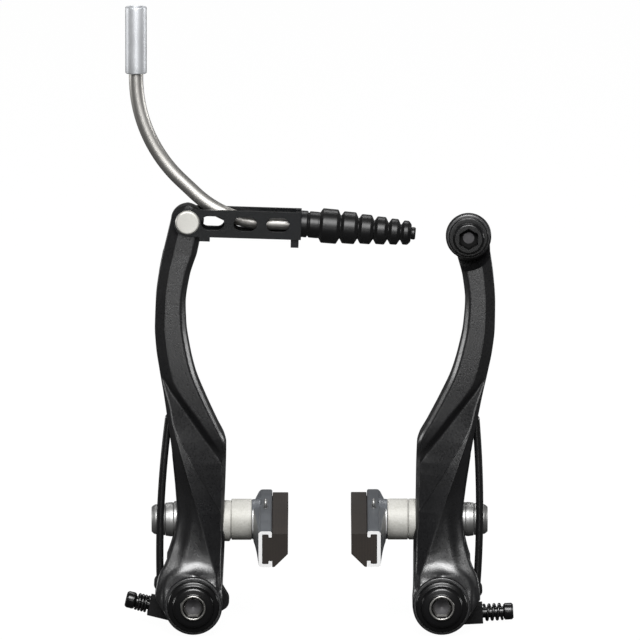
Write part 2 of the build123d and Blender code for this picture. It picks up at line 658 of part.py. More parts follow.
def link_pin():
    """Rivet through the link's cheeks and the tongue of the left arm, headed on both sides."""
    pin = y_rod(LINK_PIN_RADIUS, YOKE_OUTER, -YOKE_OUTER)
    for face, out in ((YOKE_OUTER, 1), (-YOKE_OUTER, -1)):
        head = y_rod(LINK_PIN_HEAD_RADIUS, face, face + out * LINK_PIN_HEAD)
        rim = head.edges().filter_by(GeomType.CIRCLE).sort_by(Axis.Y)[-1 if out > 0 else 0]
        pin += chamfer(rim, LINK_PIN_HEAD / 3)
    return pin


def tube_corners():
    """Corners of the guide tube's line in (x, z) from the link pin: above, over the pin and in the link."""
    turn = radians(TUBE_ANGLE)
    slope = tan(radians(LINK_SLOPE))
    above = (-TUBE_OFFSET, (TUBE_LIFT + TUBE_OFFSET * cos(turn)) / sin(turn))
    across = TUBE_LIFT / (cos(turn) - slope * sin(turn))
    return [(-TUBE_OFFSET, FERRULE_HEIGHT + FERRULE_INSERT), above, (across, -slope * across)]


def on_link(distance):
    """Point (x, z) on the link's own axis at a distance from the pin."""
    slope = radians(LINK_SLOPE)
    return distance * cos(slope), -distance * sin(slope)


def bent_bar(radius, points, bends):
    """Round bar along straight runs in the link's plane with a bend at each corner."""
    return swept(radius, FilletPolyline(*[(x, 0, z) for x, z in points], radius=bends))


def guide_tube():
    """Bent steel tube from the ferrule down into the link."""
    points = tube_corners() + [on_link(LINK_LENGTH - LOOSE)]
    bends = [TUBE_BEND_TOP, TUBE_BEND_LINK]
    return bent_bar(TUBE_RADIUS, points, bends) - bent_bar(TUBE_BORE_RADIUS, points, bends)


def boot_point(distance):
    """Point (x, z) on the boot's axis, which droops from the end of the link."""
    x, z = on_link(LINK_END)
    slope = radians(LINK_SLOPE + BOOT_DROOP)
    return x + distance * cos(slope), z - distance * sin(slope)


def tube_liner():
    """Plastic liner through the guide tube and on through the boot."""
    points = tube_corners() + [on_link(LINK_END), boot_point(boot_length())]
    bends = [TUBE_BEND_TOP, TUBE_BEND_LINK, LINER_BEND]
    return bent_bar(LINER_RADIUS, points, bends) - bent_bar(LINER_BORE_RADIUS, points, bends)


def ferrule():
    """Turned end cap on the guide tube, with a bore above for the cable housing."""
    top = FERRULE_HEIGHT + FERRULE_LENGTH
    seat = FERRULE_HEIGHT + FERRULE_INSERT
    body = rod(FERRULE_RADIUS, (-TUBE_OFFSET, 0, FERRULE_HEIGHT), (-TUBE_OFFSET, 0, top))
    body = chamfer(body.edges().filter_by(GeomType.CIRCLE), FERRULE_RADIUS / 10)
    body -= rod(TUBE_RADIUS + SEATED, (-TUBE_OFFSET, 0, FERRULE_HEIGHT), (-TUBE_OFFSET, 0, seat))
    return body - rod(HOUSING_BORE_RADIUS, (-TUBE_OFFSET, 0, seat), (-TUBE_OFFSET, 0, top))


def boot_length():
    """Length of the boot from its neck to its nose."""
    return BOOT_NECK_LENGTH + sum(BOOT_RIB_LENGTHS) + BOOT_NOSE_LENGTH


def boot_profile():
    """Outline of the boot as pairs of distance and radius: neck, ribs with grooves, and nose."""
    start = FACE_GAP + BOOT_NECK_RADIUS * tan(radians(BOOT_DROOP))
    profile = [(start, BOOT_NECK_RADIUS), (BOOT_NECK_LENGTH - BOOT_GROOVE / 2, BOOT_NECK_RADIUS)]
    at = BOOT_NECK_LENGTH
    for length, radius in zip(BOOT_RIB_LENGTHS, BOOT_RIB_RADII):
        profile += [
            (at, radius - BOOT_GROOVE),
            (at + BOOT_GROOVE / 2, radius),
            (at + length - BOOT_GROOVE / 2, radius - BOOT_RIB_TAPER),
        ]
        at += length
    return profile + [(at, BOOT_NOSE_RADIUS), (at + BOOT_NOSE_LENGTH, BOOT_NOSE_RADIUS)]


def boot():
    """Ribbed rubber boot on the liner, hollow between its ends."""
    bore = LINER_RADIUS + RUNNING
    outer = boot_profile()
    skin = polygon([(outer[0][0], bore), *outer, (outer[-1][0], bore)])
    hollow = [(at, radius - BOOT_WALL) for at, radius in outer[2:-2]]
    hollow = [(BOOT_NECK_LENGTH - BOOT_WALL, bore), *hollow, (outer[-3][0] + BOOT_WALL / 2, bore)]
    shape = revolve(skin, Axis.X) - revolve(polygon(hollow), Axis.X)
    x, z = on_link(LINK_END)
    return Pos(x, 0, z) * Rot(0, LINK_SLOPE + BOOT_DROOP, 0) * shape


def cable_anchor_bolt():
    """Socket-head bolt that clamps the cable to the right arm."""
    back = LINK_PLANE + ANCHOR_DEPTH / 2
    seat = LINK_PLANE - ANCHOR_DEPTH / 2 - ANCHOR_WASHER
    front = seat - ANCHOR_HEAD
    head = chamfer(y_rod(ANCHOR_HEAD_RADIUS, seat, front).edges().filter_by(GeomType.CIRCLE), LOOSE)
    bolt = head + y_rod(ANCHOR_THREAD / 2, back, seat) - hex_socket(HEX_KEY, front + ANCHOR_HEX_DEPTH, front)
    return Pos(ANCHOR_AT[0], 0, ANCHOR_AT[1]) * bolt


def cable_anchor_washer():
    """Clamp washer under the bolt head, with a groove for the cable across its back."""
    back = LINK_PLANE - ANCHOR_DEPTH / 2
    washer = y_rod(ANCHOR_WASHER_RADIUS, back, back - ANCHOR_WASHER)
    washer -= y_rod(ANCHOR_THREAD / 2 + SEATED, back, back - ANCHOR_WASHER)
    groove = (ANCHOR_THREAD + CABLE_GROOVE) / 2
    washer -= x_rod(CABLE_GROOVE / 2, -ANCHOR_RADIUS, ANCHOR_RADIUS, back, groove)
    return Pos(ANCHOR_AT[0], 0, ANCHOR_AT[1]) * washer


def placed(side, shape):
    """A half's piece moved from its own pivot to its side of the brake."""
    moved = Pos(PIVOT_SPACING / 2, 0, 0) * shape
    return mirror(moved, about=Plane.YZ) if side == "left" else moved


def half_pieces(side):
    """All pieces of one half about its own pivot, by name."""
    with_arm = Rot(0, -LEAN[side], 0)
    with_unit = Rot(0, -UNIT_TURN[side], 0)
    tilt = Pos(TILT_AT[0], POST_PLANE, TILT_AT[1])
    u, w = leaned(TILT_AT, LEAN[side])
    with_shoe = Pos(u, POST_PLANE, w)
    inner = (INNER_WASHER_RADIUS, INNER_DOME_EDGE)
    outer = (OUTER_WASHER_RADIUS, OUTER_DOME_EDGE)
    pieces = {
        "arm": with_arm * (left_arm() if side == "left" else right_arm()),
        "bearing_bush": bearing_bush(),
        "pivot_sleeve": pivot_sleeve(),
        "pivot_bolt": pivot_bolt(),
        "stop_plate": with_unit * stop_plate(),
        "spring_holder": with_unit * spring_holder(side),
        "adjuster_screw": with_unit * adjuster_screw(side),
        "adjuster_spring": with_unit * adjuster_spring(side),
        "return_spring": return_spring(side),
        "inner_dome_washer": with_arm * tilt * dome_washer(*inner, -1),
        "inner_cup_spacer": with_shoe * cup_washer(*inner, INNER_CUP_END, -1),
        "outer_dome_washer": with_arm * tilt * dome_washer(*outer, 1),
        "outer_cup_washer": with_shoe * cup_washer(*outer, OUTER_CUP_END, 1),
        "shoe_nut": with_shoe * shoe_nut(),
        "shoe_post": with_shoe * shoe_post(),
        "shoe_holder": with_shoe * shoe_holder(),
        "pad": with_shoe * pad(),
        "pad_pin": with_shoe * pad_pin(),
    }
    return {f"{side}_{name}": placed(side, shape) for name, shape in pieces.items()}


def link_pieces():
    """The link and all it carries, at the pin of the left arm, and the cable anchor on the right arm."""
    u, w = leaned(LINK_PIN_AT, LEAN["left"])
    at_pin = Pos(-PIVOT_SPACING / 2 - u, LINK_PLANE, w)
    along_link = at_pin * Rot(0, LINK_SLOPE, 0)
    with_arm = Rot(0, -LEAN["right"], 0)
    return {
        "link": along_link * link(),
        "link_pin": along_link * link_pin(),
        "guide_tube": at_pin * guide_tube(),
        "tube_liner": at_pin * tube_liner(),
        "ferrule": at_pin * ferrule(),
        "boot": at_pin * boot(),
        "cable_anchor_bolt": placed("right", with_arm * cable_anchor_bolt()),
        "cable_anchor_washer": placed("right", with_arm * cable_anchor_washer()),
    }


for name, shape in {**half_pieces("left"), **half_pieces("right"), **link_pieces()}.items():
    export_step(shape, f"parts/{name}.step")
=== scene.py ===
"""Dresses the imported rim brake: painted arms, plated hardware, shoes, springs, link and guide tube."""
import logging
from dataclasses import dataclass, field
from enum import Enum
from math import cos, pi, radians, sin, tan
from typing import Sequence

import bmesh
import bpy
import numpy as np
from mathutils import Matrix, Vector


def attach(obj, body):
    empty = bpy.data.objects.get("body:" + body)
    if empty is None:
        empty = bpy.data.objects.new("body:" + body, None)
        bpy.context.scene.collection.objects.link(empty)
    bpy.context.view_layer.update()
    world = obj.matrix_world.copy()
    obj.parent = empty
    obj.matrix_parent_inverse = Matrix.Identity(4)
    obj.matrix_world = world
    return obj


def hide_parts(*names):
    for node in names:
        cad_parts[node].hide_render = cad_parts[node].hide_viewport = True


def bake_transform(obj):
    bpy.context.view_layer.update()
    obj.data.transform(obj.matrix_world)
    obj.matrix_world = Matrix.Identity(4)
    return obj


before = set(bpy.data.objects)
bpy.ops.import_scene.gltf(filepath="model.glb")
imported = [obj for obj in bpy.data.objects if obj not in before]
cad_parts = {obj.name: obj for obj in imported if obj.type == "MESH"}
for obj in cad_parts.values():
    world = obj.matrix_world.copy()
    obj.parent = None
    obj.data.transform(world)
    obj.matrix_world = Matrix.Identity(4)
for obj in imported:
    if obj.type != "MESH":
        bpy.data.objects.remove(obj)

log = logging.getLogger("rim_brake")
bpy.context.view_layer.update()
MM = 0.001

Knots = Sequence[tuple[float, float]]
Colour = tuple[float, float, float, float] | bpy.types.NodeSocket


class Side(Enum):
    """The two halves of the brake; the value is the sign of X."""

    LEFT = -1
    RIGHT = 1

    @property
    def label(self) -> str:
        """Prefix of this half's node names."""
        return self.name.lower()


class Mesh(Enum):
    """How the faces of a piece meet under smooth shading: the angle that stays a sharp edge."""

    SOFT = 60.0
    CRISP = 32.0


class Cut(Enum):
    """What a further shape does to a carved one."""

    ON = "UNION"
    OUT = "DIFFERENCE"


def linear(code: str) -> tuple[float, float, float, float]:
    """Turns an sRGB hex colour into linear light.

    Args:
        code: Six hex digits.

    Returns:
        Linear red, green, blue and an alpha of 1.
    """
    parts = [int(code[i:i + 2], 16) / 255 for i in (0, 2, 4)]
    return (*[c / 12.92 if c <= 0.04045 else ((c + 0.055) / 1.055) ** 2.4 for c in parts], 1.0)


def add_node(tree: bpy.types.NodeTree, kind: str, inputs: dict | None = None, **settings) -> bpy.types.Node:
    """Adds one shader node with its settings and links.

    Args:
        tree: Node tree of the material or world.
        kind: Blender's node type.
        inputs: Values or output sockets by input name or number.
        settings: Properties of the node.

    Returns:
        The new node.
    """
    node = tree.nodes.new(kind)
    for name, value in settings.items():
        setattr(node, name, value)
    for name, value in (inputs or {}).items():
        if isinstance(value, bpy.types.NodeSocket):
            tree.links.new(value, node.inputs[name])
        else:
            node.inputs[name].default_value = value
    return node


def blank_tree(owner: bpy.types.Material | bpy.types.World) -> bpy.types.NodeTree:
    """Empty node tree of a new material or world."""
    owner.use_nodes = True
    owner.node_tree.nodes.clear()
    return owner.node_tree


def mixed(tree: bpy.types.NodeTree, share: bpy.types.NodeSocket, low: Colour, high: Colour) -> bpy.types.NodeSocket:
    """Colour that a share from 0 to 1 takes from one colour to another."""
    return add_node(tree, "ShaderNodeMix", {0: share, 6: low, 7: high}, data_type="RGBA").outputs[2]


def in_scene(name: str, data: bpy.types.ID) -> bpy.types.Object:
    """New object of the scene that shows a mesh, a lamp or a camera."""
    made = bpy.data.objects.new(name, data)
    bpy.context.scene.collection.objects.link(made)
    return made


@dataclass(frozen=True)
class Finish:
    """A surface made of one tint, its grain and its gloss, all on Object coordinates.

    The colour runs from shade to tint with a soft cloud pattern, the gloss varies a little with the same
    pattern, and a fine grain raises the surface. Grain sizes are in millimetres of the real surface.
    """

    label: str
    slot: str
    tint: str
    shade: str
    rough: tuple[float, float]
    metallic: float = 0.0
    cloud_mm: float = 9.0
    grain_mm: float = 0.6
    grain_run: tuple[float, float, float] = (1.0, 1.0, 1.0)
    grain_height: float = 0.02
    grain_tone: float = 0.25
    coat: float = 0.0
    coat_rough: float = 0.2
    specular: float = 0.5
    sheen: float = 0.0
    cloud_span: tuple[float, float] = (0.3, 0.7)
    bump: float = 0.6

    def colour(self, tree: bpy.types.NodeTree, place: bpy.types.NodeSocket,
               share: bpy.types.NodeSocket) -> bpy.types.NodeSocket:
        """Colour of the surface from shade to tint.

        Args:
            tree: The material's node tree.
            place: Object coordinates; not used here.
            share: How far the colour is from shade to tint.

        Returns:
            The colour socket.
        """
        return mixed(tree, share, linear(self.shade), linear(self.tint))

    def material(self) -> bpy.types.Material:
        """Builds the material once and hands out the same one after that."""
        made = bpy.data.materials.get(self.label)
        if made:
            return made
        made = bpy.data.materials.new(self.label)
        tree = blank_tree(made)
        place = add_node(tree, "ShaderNodeTexCoord").outputs["Object"]
        cloud = add_node(tree, "ShaderNodeTexNoise",
                         {"Vector": place, "Scale": 1000 / self.cloud_mm, "Detail": 2.0})
        run = add_node(tree, "ShaderNodeMapping", {"Vector": place, "Scale": self.grain_run})
        grain = add_node(tree, "ShaderNodeTexNoise",
                         {"Vector": run.outputs[0], "Scale": 1000 / self.grain_mm, "Detail": 3.0, "Roughness": 0.6})
        share = add_node(tree, "ShaderNodeMix",
                         {0: self.grain_tone, 2: cloud.outputs[0], 3: grain.outputs[0]}, data_type="FLOAT")
        low, high = self.cloud_span
        spread = add_node(tree, "ShaderNodeMapRange", {"Value": share.outputs[0], "From Min": low, "From Max": high})
        low, high = self.rough
        gloss = add_node(tree, "ShaderNodeMapRange",
                         {"Value": spread.outputs[0], "To Min": low, "To Max": high})
        bump = add_node(tree, "ShaderNodeBump",
                        {"Height": grain.outputs[0], "Strength": self.bump, "Distance": self.grain_height * MM})
        shader = add_node(tree, "ShaderNodeBsdfPrincipled", {
            "Base Color": self.colour(tree, place, spread.outputs[0]),
            "Roughness": gloss.outputs[0],
            "Normal": bump.outputs[0],
            "Metallic": self.metallic,
            "Specular IOR Level": self.specular,
            "Coat Weight": self.coat,
            "Coat Roughness": self.coat_rough,
            "Sheen Weight": self.sheen,
        })
        add_node(tree, "ShaderNodeOutputMaterial", {"Surface": shader.outputs[0]})
        return made


@dataclass(frozen=True)
class BareEnds(Finish):
    """A coated section whose sawn ends, the faces across Y, show the bare metal."""

    bare: str = "E2E2E2"

    def colour(self, tree: bpy.types.NodeTree, place: bpy.types.NodeSocket,
               share: bpy.types.NodeSocket) -> bpy.types.NodeSocket:
        """The coat's colour, changed to bare metal where the surface faces along Y."""
        coat = super().colour(tree, place, share)
        facing = add_node(tree, "ShaderNodeTexCoord").outputs["Normal"]
        parts = add_node(tree, "ShaderNodeSeparateXYZ", {0: facing})
        size = add_node(tree, "ShaderNodeMath", {0: parts.outputs[1]}, operation="ABSOLUTE")
        end = add_node(tree, "ShaderNodeMapRange", {"Value": size.outputs[0], "From Min": 0.75, "From Max": 0.9})
        return mixed(tree, end.outputs[0], coat, linear(self.bare))


@dataclass(frozen=True)
class RuledRubber(Finish):
    """Moulded rubber with fine mould lines across X, just under a millimetre apart."""

    line_mm: float = 0.8
    line: str = "201C1A"

    def colour(self, tree: bpy.types.NodeTree, place: bpy.types.NodeSocket,
               share: bpy.types.NodeSocket) -> bpy.types.NodeSocket:
        """The rubber's colour, darker along the mould lines."""
        rubber = super().colour(tree, place, share)
        bands = add_node(tree, "ShaderNodeTexWave", {
            "Vector": place, "Scale": 2 * pi / 20 / (self.line_mm * MM), "Distortion": 2.2, "Detail": 3.0,
            "Detail Scale": 2.0}, bands_direction="X")
        dark = add_node(tree, "ShaderNodeMapRange",
                        {"Value": bands.outputs[1], "From Min": 0.55, "From Max": 0.95, "To Max": 0.6})
        return mixed(tree, dark.outputs[0], rubber, linear(self.line))


# Cast aluminium under satin black powder paint: dark, with soft highlights and a fine grain
PAINT = Finish("satin_powder_paint", "arm_black", "131314", "0D0D0E", (0.24, 0.4), grain_mm=0.5,
               grain_height=0.045, grain_tone=0.75, specular=0.66)
# Black oxide steel: nearly black with a small, slightly oily highlight
BLACK_STEEL = Finish("black_oxide_steel", "steel_black", "0E0E0F", "090909", (0.2, 0.27), grain_mm=0.6,
                     grain_height=0.0015, specular=0.32)
# Black lacquered spring wire: smooth and glossy along its length
BLACK_WIRE = Finish("black_lacquered_wire", "steel_black", "0E0E0F", "0A0A0A", (0.2, 0.28), grain_mm=0.9,
                    grain_height=0.004, coat=0.3)
# Bright zinc on turned steel: a pale metal with faint turning marks round X
ZINC = Finish("zinc_plated_steel", "steel_plain", "979796", "878786", (0.44, 0.5), metallic=0.92, grain_mm=0.35,
              grain_run=(3.0, 0.4, 0.4), grain_height=0.001)
# Pale bare steel on the rim round a key socket and down its walls: a painted highlight, the thin bright line where
# light catches them
RIM_HIGHLIGHT = Finish("worn_bare_steel_rim", "steel_black", "8C8B88", "787774", (0.25, 0.32), metallic=0.9,
                  grain_height=0.002)
# Grey steel at the bottom of a key socket, lighter than the bolt round it: painted light on the socket's floor,
# broached and dull
SOCKET_FLOOR_LIGHT = Finish("broached_socket_steel", "steel_black", "474648", "3A393A", (0.35, 0.45), metallic=0.5,
                      grain_mm=0.4, grain_height=0.02)
# Painted shade down the walls of a key socket: near black, matt and nearly without reflection
SOCKET_SHADE = Finish("oiled_broached_socket", "steel_black", "080808", "050505", (0.6, 0.7), specular=0.1)
# Tumbled rivet steel: pale, almost without a highlight
RIVET = Finish("tumbled_rivet_steel", "steel_plain", "C2C1BC", "B1B0AB", (0.45, 0.55), metallic=0.7, grain_mm=0.5,
               grain_height=0.01)
# Blasted zinc casting: light grey with a sandy grain
BLASTED = Finish("blasted_zinc_casting", "spacer_grey", "B4B3AF", "908F88", (0.55, 0.7), metallic=0.2,
                 grain_mm=0.45, grain_height=0.05, grain_tone=0.6)
# Grey anodised extrusion with bare sawn ends
ANODISED = BareEnds("grey_anodised_extrusion", "holder_gunmetal", "5A5D61", "4A4D51", (0.34, 0.44), metallic=0.3,
                    grain_mm=0.5, grain_run=(1.0, 0.15, 1.0), grain_height=0.01)
# Brake rubber: dull, brown-grey, with mould lines
BRAKE_RUBBER = RuledRubber("moulded_brake_rubber", "pad_rubber", "28231F", "201C19", (0.8, 0.9), grain_mm=0.7,
                           grain_height=0.04, specular=0.3)
# Dark coated pressed steel: nearly black, faintly blue and satin
COATED_STEEL = Finish("dark_coated_sheet_steel", "link_grey", "0E0F11", "0A0B0C", (0.26, 0.34), specular=0.2,
                      grain_mm=0.5, grain_height=0.012)
# Stainless tube: bright and satin, with an even sheen
STAINLESS = Finish("drawn_stainless_tube", "tube_polished", "BCBAB6", "B4B2AE", (0.44, 0.45), metallic=1.0,
                   grain_mm=3.0, grain_height=0.0)
# Clear anodised turned aluminium: pale blue-grey with rings of the turning tool
TURNED = Finish("clear_anodised_turned_aluminium", "ferrule_aluminium", "CACCCF", "BABCBF", (0.42, 0.5),
                metallic=0.75, grain_mm=0.4, grain_run=(0.2, 0.2, 3.0), grain_height=0.003)
# Moulded rubber of the boot: black with a broad dull highlight
BOOT_RUBBER = Finish("moulded_boot_rubber", "boot_rubber", "0D0D0E", "090909", (0.32, 0.42), grain_mm=0.6,
                     grain_height=0.02, specular=0.26, sheen=0.02)
# Glass-filled nylon: black with a slight orange-peel surface
NYLON = Finish("moulded_black_nylon", "plastic_black", "0F0F10", "0A0A0B", (0.38, 0.5), grain_mm=0.8,
               grain_height=0.02, specular=0.22)
# Plain acetal liner: milky white
ACETAL = Finish("white_acetal_liner", "liner_plastic", "DAD9D4", "CBCAC5", (0.4, 0.5), grain_height=0.005)
# Sintered bronze bush
BRONZE = Finish("sintered_bronze", "bush_brass", "B0925A", "967A48", (0.35, 0.5), metallic=1.0, grain_mm=0.3)


def pchip(knots: Knots, at: np.ndarray) -> np.ndarray:
    """Monotone cubic through knots: Hermite pieces whose slopes are harmonic means of the chords, so none overshoots.

    Args:
        knots: Pairs of place and value, in rising places.
        at: Places to read.

    Returns:
        Values at those places, level beyond the ends.
    """
    x, y = np.asarray(knots, float).T
    step = np.diff(x)
    chord = np.diff(y) / step
    same = chord[1:] * chord[:-1] > 0
    before, after = 2 * step[1:] + step[:-1], step[1:] + 2 * step[:-1]
    safe = np.where(same, chord[:-1], 1.0), np.where(same, chord[1:], 1.0)
    mean = np.where(same, (before + after) / (before / safe[0] + after / safe[1]), 0.0)
    slope = np.concatenate([chord[:1], mean, chord[-1:]])
    k = np.clip(np.searchsorted(x, at) - 1, 0, len(step) - 1)
    t = np.clip((at - x[k]) / step[k], 0.0, 1.0)
    rise = t * t * (3 - 2 * t)
    lift = step[k] * (t * (1 - t) ** 2 * slope[k] - t * t * (1 - t) * slope[k + 1])
    return y[k] + (y[k + 1] - y[k]) * rise + lift


# Points on each rounded corner, and where points lie on the straight run to the next one
CORNER_POINTS = 5
RUN_SHARES = np.array([0.1, 0.5, 0.9])[:, None]


def round_corners(corners: np.ndarray, setback: np.ndarray | float) -> np.ndarray:
    """Closed outlines with each corner replaced by a parabola from a set-back before it to one after it.

    Args:
        corners: Outlines of shape (..., corners, 2).
        setback: Length taken off both edges at each corner, limited to 0.45 of the shorter edge.

    Returns:
        Outlines of shape (..., corners * 8, 2).
    """
    back = np.roll(corners, 1, axis=-2) - corners
    on = np.roll(corners, -1, axis=-2) - corners
    back_length = np.maximum(np.linalg.norm(back, axis=-1), 1e-9)
    on_length = np.maximum(np.linalg.norm(on, axis=-1), 1e-9)
    cut = np.minimum(setback, 0.45 * np.minimum(back_length, on_length))
    start = corners + back * (cut / back_length)[..., None]
    end = corners + on * (cut / on_length)[..., None]
    t = np.linspace(0.0, 1.0, CORNER_POINTS)[:, None]
    arc = (1 - t) ** 2 * start[..., None, :] + 2 * t * (1 - t) * corners[..., None, :] + t**2 * end[..., None, :]
    run = end[..., None, :] + RUN_SHARES * (np.roll(start, -1, axis=-2) - end)[..., None, :]
    both = np.concatenate([arc, run], axis=-2)
    return both.reshape(*corners.shape[:-2], -1, 2)


def soften(profile: Knots, setback: float) -> np.ndarray:
    """Open line with its inner corners rounded by parabolas, as round_corners does for closed ones."""
    line = np.asarray(profile, float)
    ends = np.zeros(len(line))
    ends[1:-1] = setback
    rounded = round_corners(line, ends)
    return rounded[CORNER_POINTS - 1:len(rounded) - CORNER_POINTS - 2]


@dataclass
class Patch:
    """Points in millimetres and the faces between them."""

    points: np.ndarray
    faces: list[np.ndarray]

    @classmethod
    def grid(cls, points: np.ndarray, caps: bool = False) -> "Patch":
        """Faces of a surface given on a grid of two parameters, whose last column joins the first.

        Args:
            points: Grid of shape (rows, columns, 3).
            caps: Whether the first and last rows are filled with one face each.

        Returns:
            The patch.
        """
        rows, cols = points.shape[:2]
        index = np.arange(rows * cols).reshape(rows, cols)
        index = np.concatenate([index, index[:, :1]], axis=1)
        quads = np.stack([index[:-1, :-1], index[:-1, 1:], index[1:, 1:], index[1:, :-1]], axis=-1).reshape(-1, 4)
        ends = [index[:1, :cols][:, ::-1], index[-1:, :cols]] if caps else []
        return cls(points.reshape(-1, 3), [quads, *ends])

    def placed(self, matrix: np.ndarray, offset: Sequence[float] = (0.0, 0.0, 0.0)) -> "Patch":
        """The patch turned by a matrix and then moved."""
        return Patch(self.points @ np.asarray(matrix).T + np.asarray(offset), self.faces)


def turn_y(angle: float) -> np.ndarray:
    """Matrix that turns about Y by the right-hand rule, in degrees."""
    c, s = cos(radians(angle)), sin(radians(angle))
    return np.array([[c, 0.0, s], [0.0, 1.0, 0.0], [-s, 0.0, c]])


def lathe(profile: np.ndarray, origin: Sequence[float], axis: Sequence[float], count: int = 72,
          hexed: np.ndarray | None = None, caps: bool = True) -> Patch:
    """Surface of revolution: each profile point (radius, place) turns round the axis.

    Where hexed is 1 the radius is divided by the cosine of the angle from the middle of the nearest of six
    flats, which makes the ring a hexagon of that inner radius with a corner on the first column.

    Args:
        profile: Pairs of radius and place along the axis.
        origin: A point on the axis.
        axis: Direction of the axis.
        count: Columns round the axis.
        hexed: Share of hexagon in each ring, from 0 to 1.
        caps: Whether the two end rings are filled.

    Returns:
        The patch.
    """
    line = np.asarray(axis, float) / np.linalg.norm(axis)
    first = np.cross(line, (1.0, 0.0, 0.0) if abs(line[2]) > 0.9 else (0.0, 0.0, 1.0))
    first /= np.linalg.norm(first)
    second = np.cross(line, first)
    angle = np.arange(count) * 2 * pi / count
    radius = np.asarray(profile, float)[:, :1] * np.ones(count)
    if hexed is not None:
        flat = 1 / np.cos((angle % (pi / 3)) - pi / 6)
        radius = radius * (1 + np.asarray(hexed)[:, None] * (flat - 1))
    round_it = np.cos(angle)[:, None] * first + np.sin(angle)[:, None] * second
    along = np.asarray(profile, float)[:, 1]
    points = np.asarray(origin, float) + radius[..., None] * round_it + along[:, None, None] * line
    return Patch.grid(points, caps=caps)


def socketed(socket: Knots, outside: np.ndarray) -> tuple[np.ndarray, np.ndarray]:
    """Profile of a head with a key socket, and its shares of hexagon: 1 down the socket and 0 outside it."""
    return np.concatenate([socket, outside]), np.repeat([1.0, 0.0], [len(socket), len(outside)])


def tube(path: np.ndarray, radius: np.ndarray | float, across: Sequence[float], count: int = 24) -> Patch:
    """Round section carried along a path, with filled ends: each ring lies across the path's own direction.

    Args:
        path: Points of the path, shape (rows, 3).
        radius: Radius of every ring, or one for each.
        across: A direction that the path never runs along, from which the rings take their start.
        count: Points round each ring.

    Returns:
        The patch.
    """
    ahead = np.gradient(path, axis=0)
    ahead /= np.linalg.norm(ahead, axis=1, keepdims=True)
    first = np.cross(ahead, np.asarray(across, float))
    first /= np.linalg.norm(first, axis=1, keepdims=True)
    second = np.cross(ahead, first)
    angle = np.arange(count) * 2 * pi / count
    size = np.broadcast_to(radius, len(path))[:, None, None]
    ring = np.cos(angle)[None, :, None] * first[:, None] + np.sin(angle)[None, :, None] * second[:, None]
    return Patch.grid(path[:, None] + size * ring, caps=True)


def bent_line(corners: np.ndarray, radii: Sequence[float], step: float = 0.6) -> np.ndarray:
    """Straight runs joined by tangent arcs, read at even steps.

    Each arc's centre lies on the bisector of its corner; its points are the corner's two tangent points
    turned into each other.

    Args:
        corners: Corner points, shape (n, 3).
        radii: Arc radius at each inner corner.
        step: Spacing of the points.

    Returns:
        Points of the line.
    """
    pieces = [corners[:1]]
    for before, at, after, radius in zip(corners, corners[1:], corners[2:], radii):
        back = (before - at) / np.linalg.norm(before - at)
        on = (after - at) / np.linalg.norm(after - at)
        half = np.arccos(np.clip(-back @ on, -1, 1)) / 2
        centre = at + (back + on) / np.linalg.norm(back + on) * radius / cos(half)
        start = at + back * radius * tan(half) - centre
        side = on - back
        side = side - (side @ start) * start / radius**2
        turn = np.linspace(0, 2 * half, max(60, int(40 * half * radius / step)))[:, None]
        pieces.append(centre + np.cos(turn) * start + np.sin(turn) * radius * side / np.linalg.norm(side))
    pieces.append(corners[-1:])
    rough = np.concatenate(pieces)
    place = np.concatenate([[0.0], np.cumsum(np.linalg.norm(np.diff(rough, axis=0), axis=1))])
    even = np.linspace(0, place[-1], int(place[-1] / step) + 2)
    return np.stack([np.interp(even, place, rough[:, k]) for k in range(3)], axis=1)


# Points closer than this, in metres, are one; faces and edges are told apart by these angles, in degrees
MERGE = 1e-6
FLAT_ANGLE, EDGE_ANGLE = 1.5, 28.0


def shaped(name: str, patch: Patch) -> bpy.types.Mesh:
    """Blender mesh of a patch, with double points merged and faces turned outwards.

    Args:
        name: Name of the mesh.
        patch: Points and faces.

    Returns:
        The mesh.
    """
    mesh = bpy.data.meshes.new(name)
    loops = np.concatenate([f.ravel() for f in patch.faces])
    sizes = np.concatenate([np.full(len(f), f.shape[1]) for f in patch.faces])
    mesh.vertices.add(len(patch.points))
    mesh.vertices.foreach_set("co", (patch.points * MM).astype(np.float32).ravel())
    mesh.loops.add(len(loops))
    mesh.loops.foreach_set("vertex_index", loops.astype(np.int32))
    mesh.polygons.add(len(sizes))
    mesh.polygons.foreach_set("loop_start", np.concatenate([[0], np.cumsum(sizes)[:-1]]).astype(np.int32))
    mesh.update(calc_edges=True)
    work = bmesh.new()
    work.from_mesh(mesh)
    bmesh.ops.remove_doubles(work, verts=work.verts, dist=MERGE)
    bmesh.ops.dissolve_degenerate(work, dist=MERGE / 10, edges=work.edges)
    bmesh.ops.recalc_face_normals(work, faces=work.faces)
    work.to_mesh(mesh)
    work.free()
    return mesh


def build(name: str, patch: Patch, finish: Finish, body: str, nodes: Sequence[str] = (),
          edges: Mesh = Mesh.SOFT, ride: bool = True) -> bpy.types.Object:
    """Makes a piece from a patch, dresses it and lets it ride on a body.

    Args:
        name: Name of the piece.
        patch: Its points and faces.
        finish: Its finish.
        body: Body that it rides on.
        nodes: CAD nodes that it stands for.
        edges: Which edges stay sharp.
        ride: False to leave the piece on no body.

    Returns:
        The piece.
    """
    return dress(name, shaped(name, patch), finish, body, nodes, edges, ride)


def dress(name: str, mesh: bpy.types.Mesh, finish: Finish, body: str, nodes: Sequence[str], edges: Mesh,
          ride: bool = True) -> bpy.types.Object:
    """Shades a mesh, gives it its finish and hangs it on its body; the arguments are those of build."""
    mesh.shade_smooth()
    mesh.set_sharp_from_angle(angle=radians(edges.value))
    mesh.materials.clear()
    mesh.materials.append(finish.material())
    piece = in_scene(name, mesh)
    if ride:
        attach(piece, body)
    if nodes:
        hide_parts(*nodes)
    log.info("%s: %d faces in %s", name, len(mesh.polygons), finish.label)
    return piece


